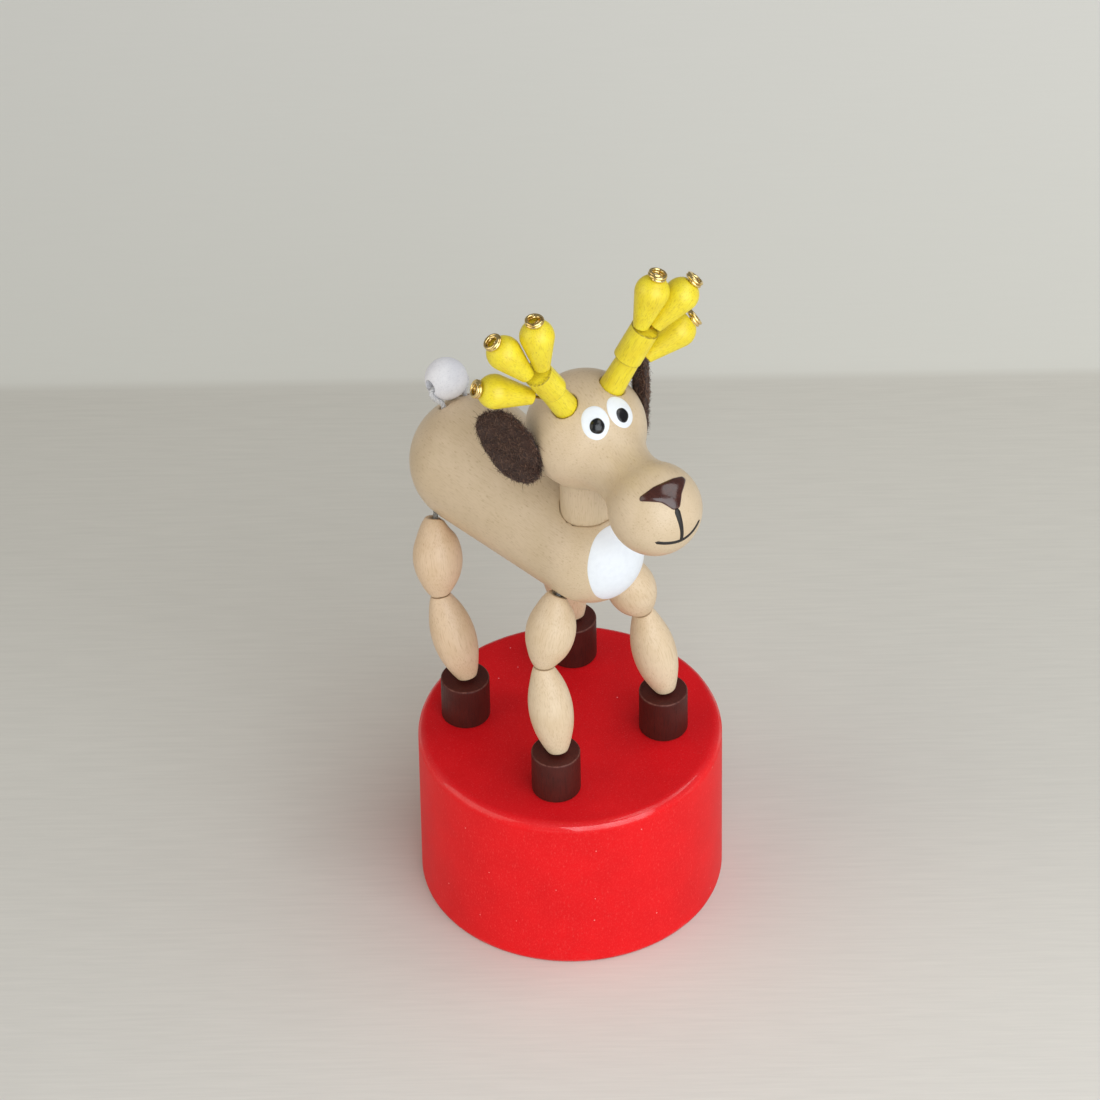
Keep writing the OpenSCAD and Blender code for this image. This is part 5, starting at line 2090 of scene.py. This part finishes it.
    def body_threads(self) -> list[Made]:
        """Threads inside the body: the front pair up through the neck, and the rear one round the tail.

        Returns:
            The stretches.
        """
        s, torso = self.stance, self.torso
        made, lower, upper = [], [], []
        mid = s.neck_foot + s.neck_length / 2 * UP
        stop = s.skull[2] - s.skull_r + self.head_bore - self.far
        for side in Side:
            hip, out = s.thigh_top(Leg(End.FRONT, side)), torso.neck_way(side)
            rise = unit(out - hip)
            level = np.array([out[0], out[1], mid[2]])
            start = hip + (self.hip_reach[0] if side is Side.LEFT else -self.hip_lap[0]) * rise
            lower.append(self.strand([
                start, out - self.far * rise, out - self.near * rise, out + self.near * UP, level,
            ]))
            upper.append(self.strand([level, np.array([out[0], out[1], stop])]))
        nodes = ("front_left_thread", "front_right_thread")
        made.append(bending(
            Surface.joined(lower).piece("neck_threads", GREY_THREAD), "torso", "neck",
            s.chest_seat - self.neck_room * UP, s.neck_foot + self.neck_room * UP, *nodes,
        ))
        neck_top = s.neck_foot + s.neck_length * UP
        made.append(bending(
            Surface.joined(upper).piece("head_threads", GREY_THREAD), "neck", "head",
            neck_top - self.head_room[0] * UP, neck_top + self.head_room[1] * UP, *nodes,
        ))
        loop_r = (s.tail_d + self.thread_d) / 2 + self.tail_clear
        halves = []
        for side in Side:
            x, turns = side * LEFTWARD, np.radians(self.tail_wrap)
            hip, out = s.thigh_top(Leg(End.REAR, side)), torso.tail_way(side)
            rise = unit(out - hip)
            round_tail = [s.tail + loop_r * (math.cos(a) * x + math.sin(a) * s.tail_dir) for a in turns]
            mouth = [s.tail + across * x + up * s.tail_dir for across, up in self.tail_lip]
            halves.append([out - self.far * rise, out - self.near * rise, *round_tail, *mouth])
            inside = self.strand([hip - self.hip_lap[0] * rise, out - self.far * rise])
            made.append(riding(inside.piece(f"rump_thread_{side.word}", GREY_THREAD), "torso", "rear_thread"))
        route = eased(halves[0] + halves[1][::-1], ease=self.tail_ease)
        tail = yarn(route, self.thread_d / 2, BACKWARD)
        rump = s.body_centre(End.REAR)
        made.append(bending(
            tail.piece("tail_thread", PALE_THREAD), "torso", "tail",
            rump + (s.body_r[1] - self.tail_room[0]) * s.tail_dir, s.tail - self.tail_room[1] * s.tail_dir,
            "rear_thread",
        ))
        return made

    def build(self) -> list[Made]:
        """Makes the spring, knots and threads, and dresses the solids that stay.

        Returns:
            The pieces.
        """
        coil = self.spring().piece("coil_spring", STEEL)
        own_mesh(coil)
        made = [riding(coil, "base", "return_spring")]
        knots = Surface.joined([self.knot(leg) for leg in LEGS])
        made.append(riding(knots.piece("thread_end_knots", GREY_THREAD), "button", "thread_knots"))
        for leg in LEGS:
            made += self.leg_threads(leg)
        made += self.body_threads()
        for node, body in (("push_button", "button"), ("head_peg", "head")):
            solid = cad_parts[node]
            solid.data.materials.clear()
            solid.data.materials.append(DRY_BEECH.material())
            made.append(Made(solid, body))
        return made


@dataclass(frozen=True)
class Studio:
    """Pale painted boards, soft light from the camera's side and the camera itself."""

    eye: tuple[float, float, float] = (-610.604, -754.570, 918.822)
    right: tuple[float, float, float] = (0.77209, -0.63538, -0.01271)
    up: tuple[float, float, float] = (0.42613, 0.50278, 0.75208)
    focal_px: float = 8000.0
    frame_px: float = 1100.0
    sensor_mm: float = 36.0
    floor_half: float = 3000.0
    step_at: float = 124.0
    strokes: Pair = (80.0, 1500.0)
    stroke_tones: Pair = (-0.035, 0.025)
    side_light_half: float = 110.0
    wash_tones: Pair = (0.844, 0.978)
    # Board tones by distance, with a painted light falloff that darkens toward the step
    tones: tuple[tuple[float, str], ...] = (
        (-300.0, "#F2EEE9"), (-120.0, "#EAE6E0"), (20.0, "#D8D5CD"), (123.0, "#CFCCC3"), (126.0, "#DEDDD5"),
        (330.0, "#F0EFEA"),
    )
    aim_z: float = 60.0
    key_w: float = 23.5
    fill_w: float = 7.8
    top_w: float = 4.0
    room: float = 0.358
    room_shine: float = 0.242

    def camera(self) -> None:
        """Sets the camera at the photograph's place, turn and lens."""
        lens = bpy.data.cameras.new("photo_camera")
        lens.sensor_width = self.sensor_mm
        lens.lens = self.sensor_mm * self.focal_px / self.frame_px
        lens.clip_start, lens.clip_end = 0.05, 20.0
        right, up = np.array(self.right), np.array(self.up)
        turn = np.stack([right, up, np.cross(right, up)], -1)
        place = Matrix(turn.tolist()).to_4x4()
        place.translation = Vector(self.eye) * MM
        made = bpy.data.objects.new("photo_camera", lens)
        made.matrix_world = place
        bpy.context.scene.collection.objects.link(made)
        bpy.context.scene.camera = made

    def boards(self) -> bpy.types.Material:
        """Pale brushed boards with a painted light falloff: the tone darkens with the distance from the
        camera's side up to the step, is lighter beyond it, and lightens to the right.

        Returns:
            The floor's material.
        """
        made = bpy.data.materials.new("pale_brushed_boards")
        made.use_nodes = True
        tree = made.node_tree
        add = partial(add_node, tree)
        place = add(Kind.PLACE)["Object"]
        ahead = unit(-np.array(self.eye[:2]))
        right = (ahead[1], -ahead[0], 0.0)
        depth = add(Kind.VECTOR, {0: place, 1: (*ahead, 0.0)}, operation="DOT_PRODUCT")[1]
        side = add(Kind.VECTOR, {0: place, 1: right}, operation="DOT_PRODUCT")[1]
        low, high = self.tones[0][0], self.tones[-1][0]
        share = add(Kind.RANGE, {"Value": depth, "From Min": low * MM, "From Max": high * MM})[0]
        ramp = add(Kind.TONES, {0: share})
        stops = ramp[0].node.color_ramp.elements
        while len(stops) < len(self.tones):
            stops.new(1.0)
        for stop, (at, tone) in zip(stops, self.tones):
            stop.position = (at - low) / (high - low)
            stop.color = linear(tone)
        lay = add(Kind.JOIN, {0: side, 1: depth})[0]
        brushed = add(Kind.VECTOR, {0: lay, 1: (*self.strokes, 1.0)}, operation="MULTIPLY")[0]
        brush = add(Kind.NOISE, {"Vector": brushed, "Scale": 1.0, "Detail": 3.0, "Roughness": 0.6})[0]
        thin, thick = self.stroke_tones
        line = add(
            Kind.RANGE, {"Value": brush, "From Min": 0.3, "From Max": 0.7, "To Min": thin, "To Max": thick}
        )[0]
        step = {"From Min": (self.step_at - 2) * MM, "From Max": self.step_at * MM}
        near = add(Kind.RANGE, {"Value": depth, **step, "To Min": 1.0, "To Max": 0.2})[0]
        streak = add(Kind.MATH, {0: line, 1: near, 2: 1.0}, operation="MULTIPLY_ADD")[0]
        # Painted light falloff across the floor: darker to the left, lighter to the right
        width = {"From Min": -self.side_light_half * MM, "From Max": self.side_light_half * MM}
        left, right = self.wash_tones
        side_light = add(Kind.RANGE, {"Value": side, **width, "To Min": left, "To Max": right})[0]
        share = add(Kind.MATH, {0: streak, 1: side_light}, operation="MULTIPLY")[0]
        tone = add(Kind.VECTOR, {0: ramp[0], "Scale": share}, operation="SCALE")[0]
        paint = {"Base Color": tone, "Roughness": 0.85, "Specular IOR Level": 0.2}
        feed(tree, tree.nodes["Principled BSDF"], paint)
        return made

    def floor(self) -> None:
        """Lays one wide flat grid under the object."""
        half = self.floor_half * MM
        line = np.linspace(-half, half, 3)
        x, y = np.meshgrid(line, line)
        points = np.stack([x, y, 0 * x], -1).reshape(-1, 3)
        mesh = bpy.data.meshes.new("pale_floor")
        mesh.from_pydata(points.tolist(), [], cells(np.arange(9).reshape(3, 3)).tolist())
        mesh.materials.append(self.boards())
        made = bpy.data.objects.new("pale_floor", mesh)
        bpy.context.scene.collection.objects.link(made)

    def softbox(
        self, name: str, watts: float, tint: str, azimuth: float, lift: float, far: float, size: float
    ) -> None:
        """Adds a large square light that looks at the animal's middle.

        Args:
            name: The light's name.
            watts: Power.
            tint: Colour of the light.
            azimuth: Degrees from straight ahead, to the animal's left.
            lift: Degrees above level.
            far: Distance in metres.
            size: Edge in metres.
        """
        lamp = bpy.data.lights.new(name, "AREA")
        lamp.size, lamp.energy, lamp.color = size, watts, linear(tint)[:3]
        way = Vector(facing(azimuth, lift).tolist())
        made = bpy.data.objects.new(name, lamp)
        made.location = Vector((0, 0, self.aim_z * MM)) + way * far
        made.rotation_euler = way.to_track_quat("Z", "Y").to_euler()
        bpy.context.scene.collection.objects.link(made)

    def build(self) -> None:
        """Makes the camera, floor, lights and the room's light, which is weaker in reflections."""
        scene = bpy.context.scene
        scene.view_settings.view_transform = "Standard"
        self.camera()
        self.floor()
        self.softbox("window_light", self.key_w, "#F4FAFF", azimuth=-10, lift=26, far=1.5, size=1.6)
        self.softbox("left_fill", self.fill_w, "#FFF8EC", azimuth=-110, lift=25, far=1.5, size=1.4)
        self.softbox("top_light", self.top_w, "#FFFFFF", azimuth=55, lift=58, far=1.3, size=0.8)
        world = bpy.data.worlds.new("pale_room")
        scene.world = world
        world.use_nodes = True
        tree = world.node_tree
        glossy = add_node(tree, Kind.RAY)["Is Glossy Ray"]
        level = add_node(tree, Kind.RANGE, {"Value": glossy, "To Min": self.room, "To Max": self.room_shine})
        feed(tree, tree.nodes["Background"], {"Color": linear("#F4F3F0"), "Strength": level[0]})


def main() -> None:
    """Builds the studio and the puppet, and logs every piece with the body that it moves with."""
    logging.basicConfig(level=logging.INFO, format="%(name)s %(message)s")
    stance = Stance()
    torso = Torso(stance)
    antlers = Antlers(stance)
    Studio().build()
    stems = [antlers.stem_dir(side) for side in Side]
    made = Base(stance).build() + Legs(stance).build() + torso.build() + Head(stance).build(stems)
    made += antlers.build() + Works(stance, torso).build()
    for row in made:
        LOG.info("%s moves with %s", row.piece.name, row.body)


if __name__ == "__main__":
    main()
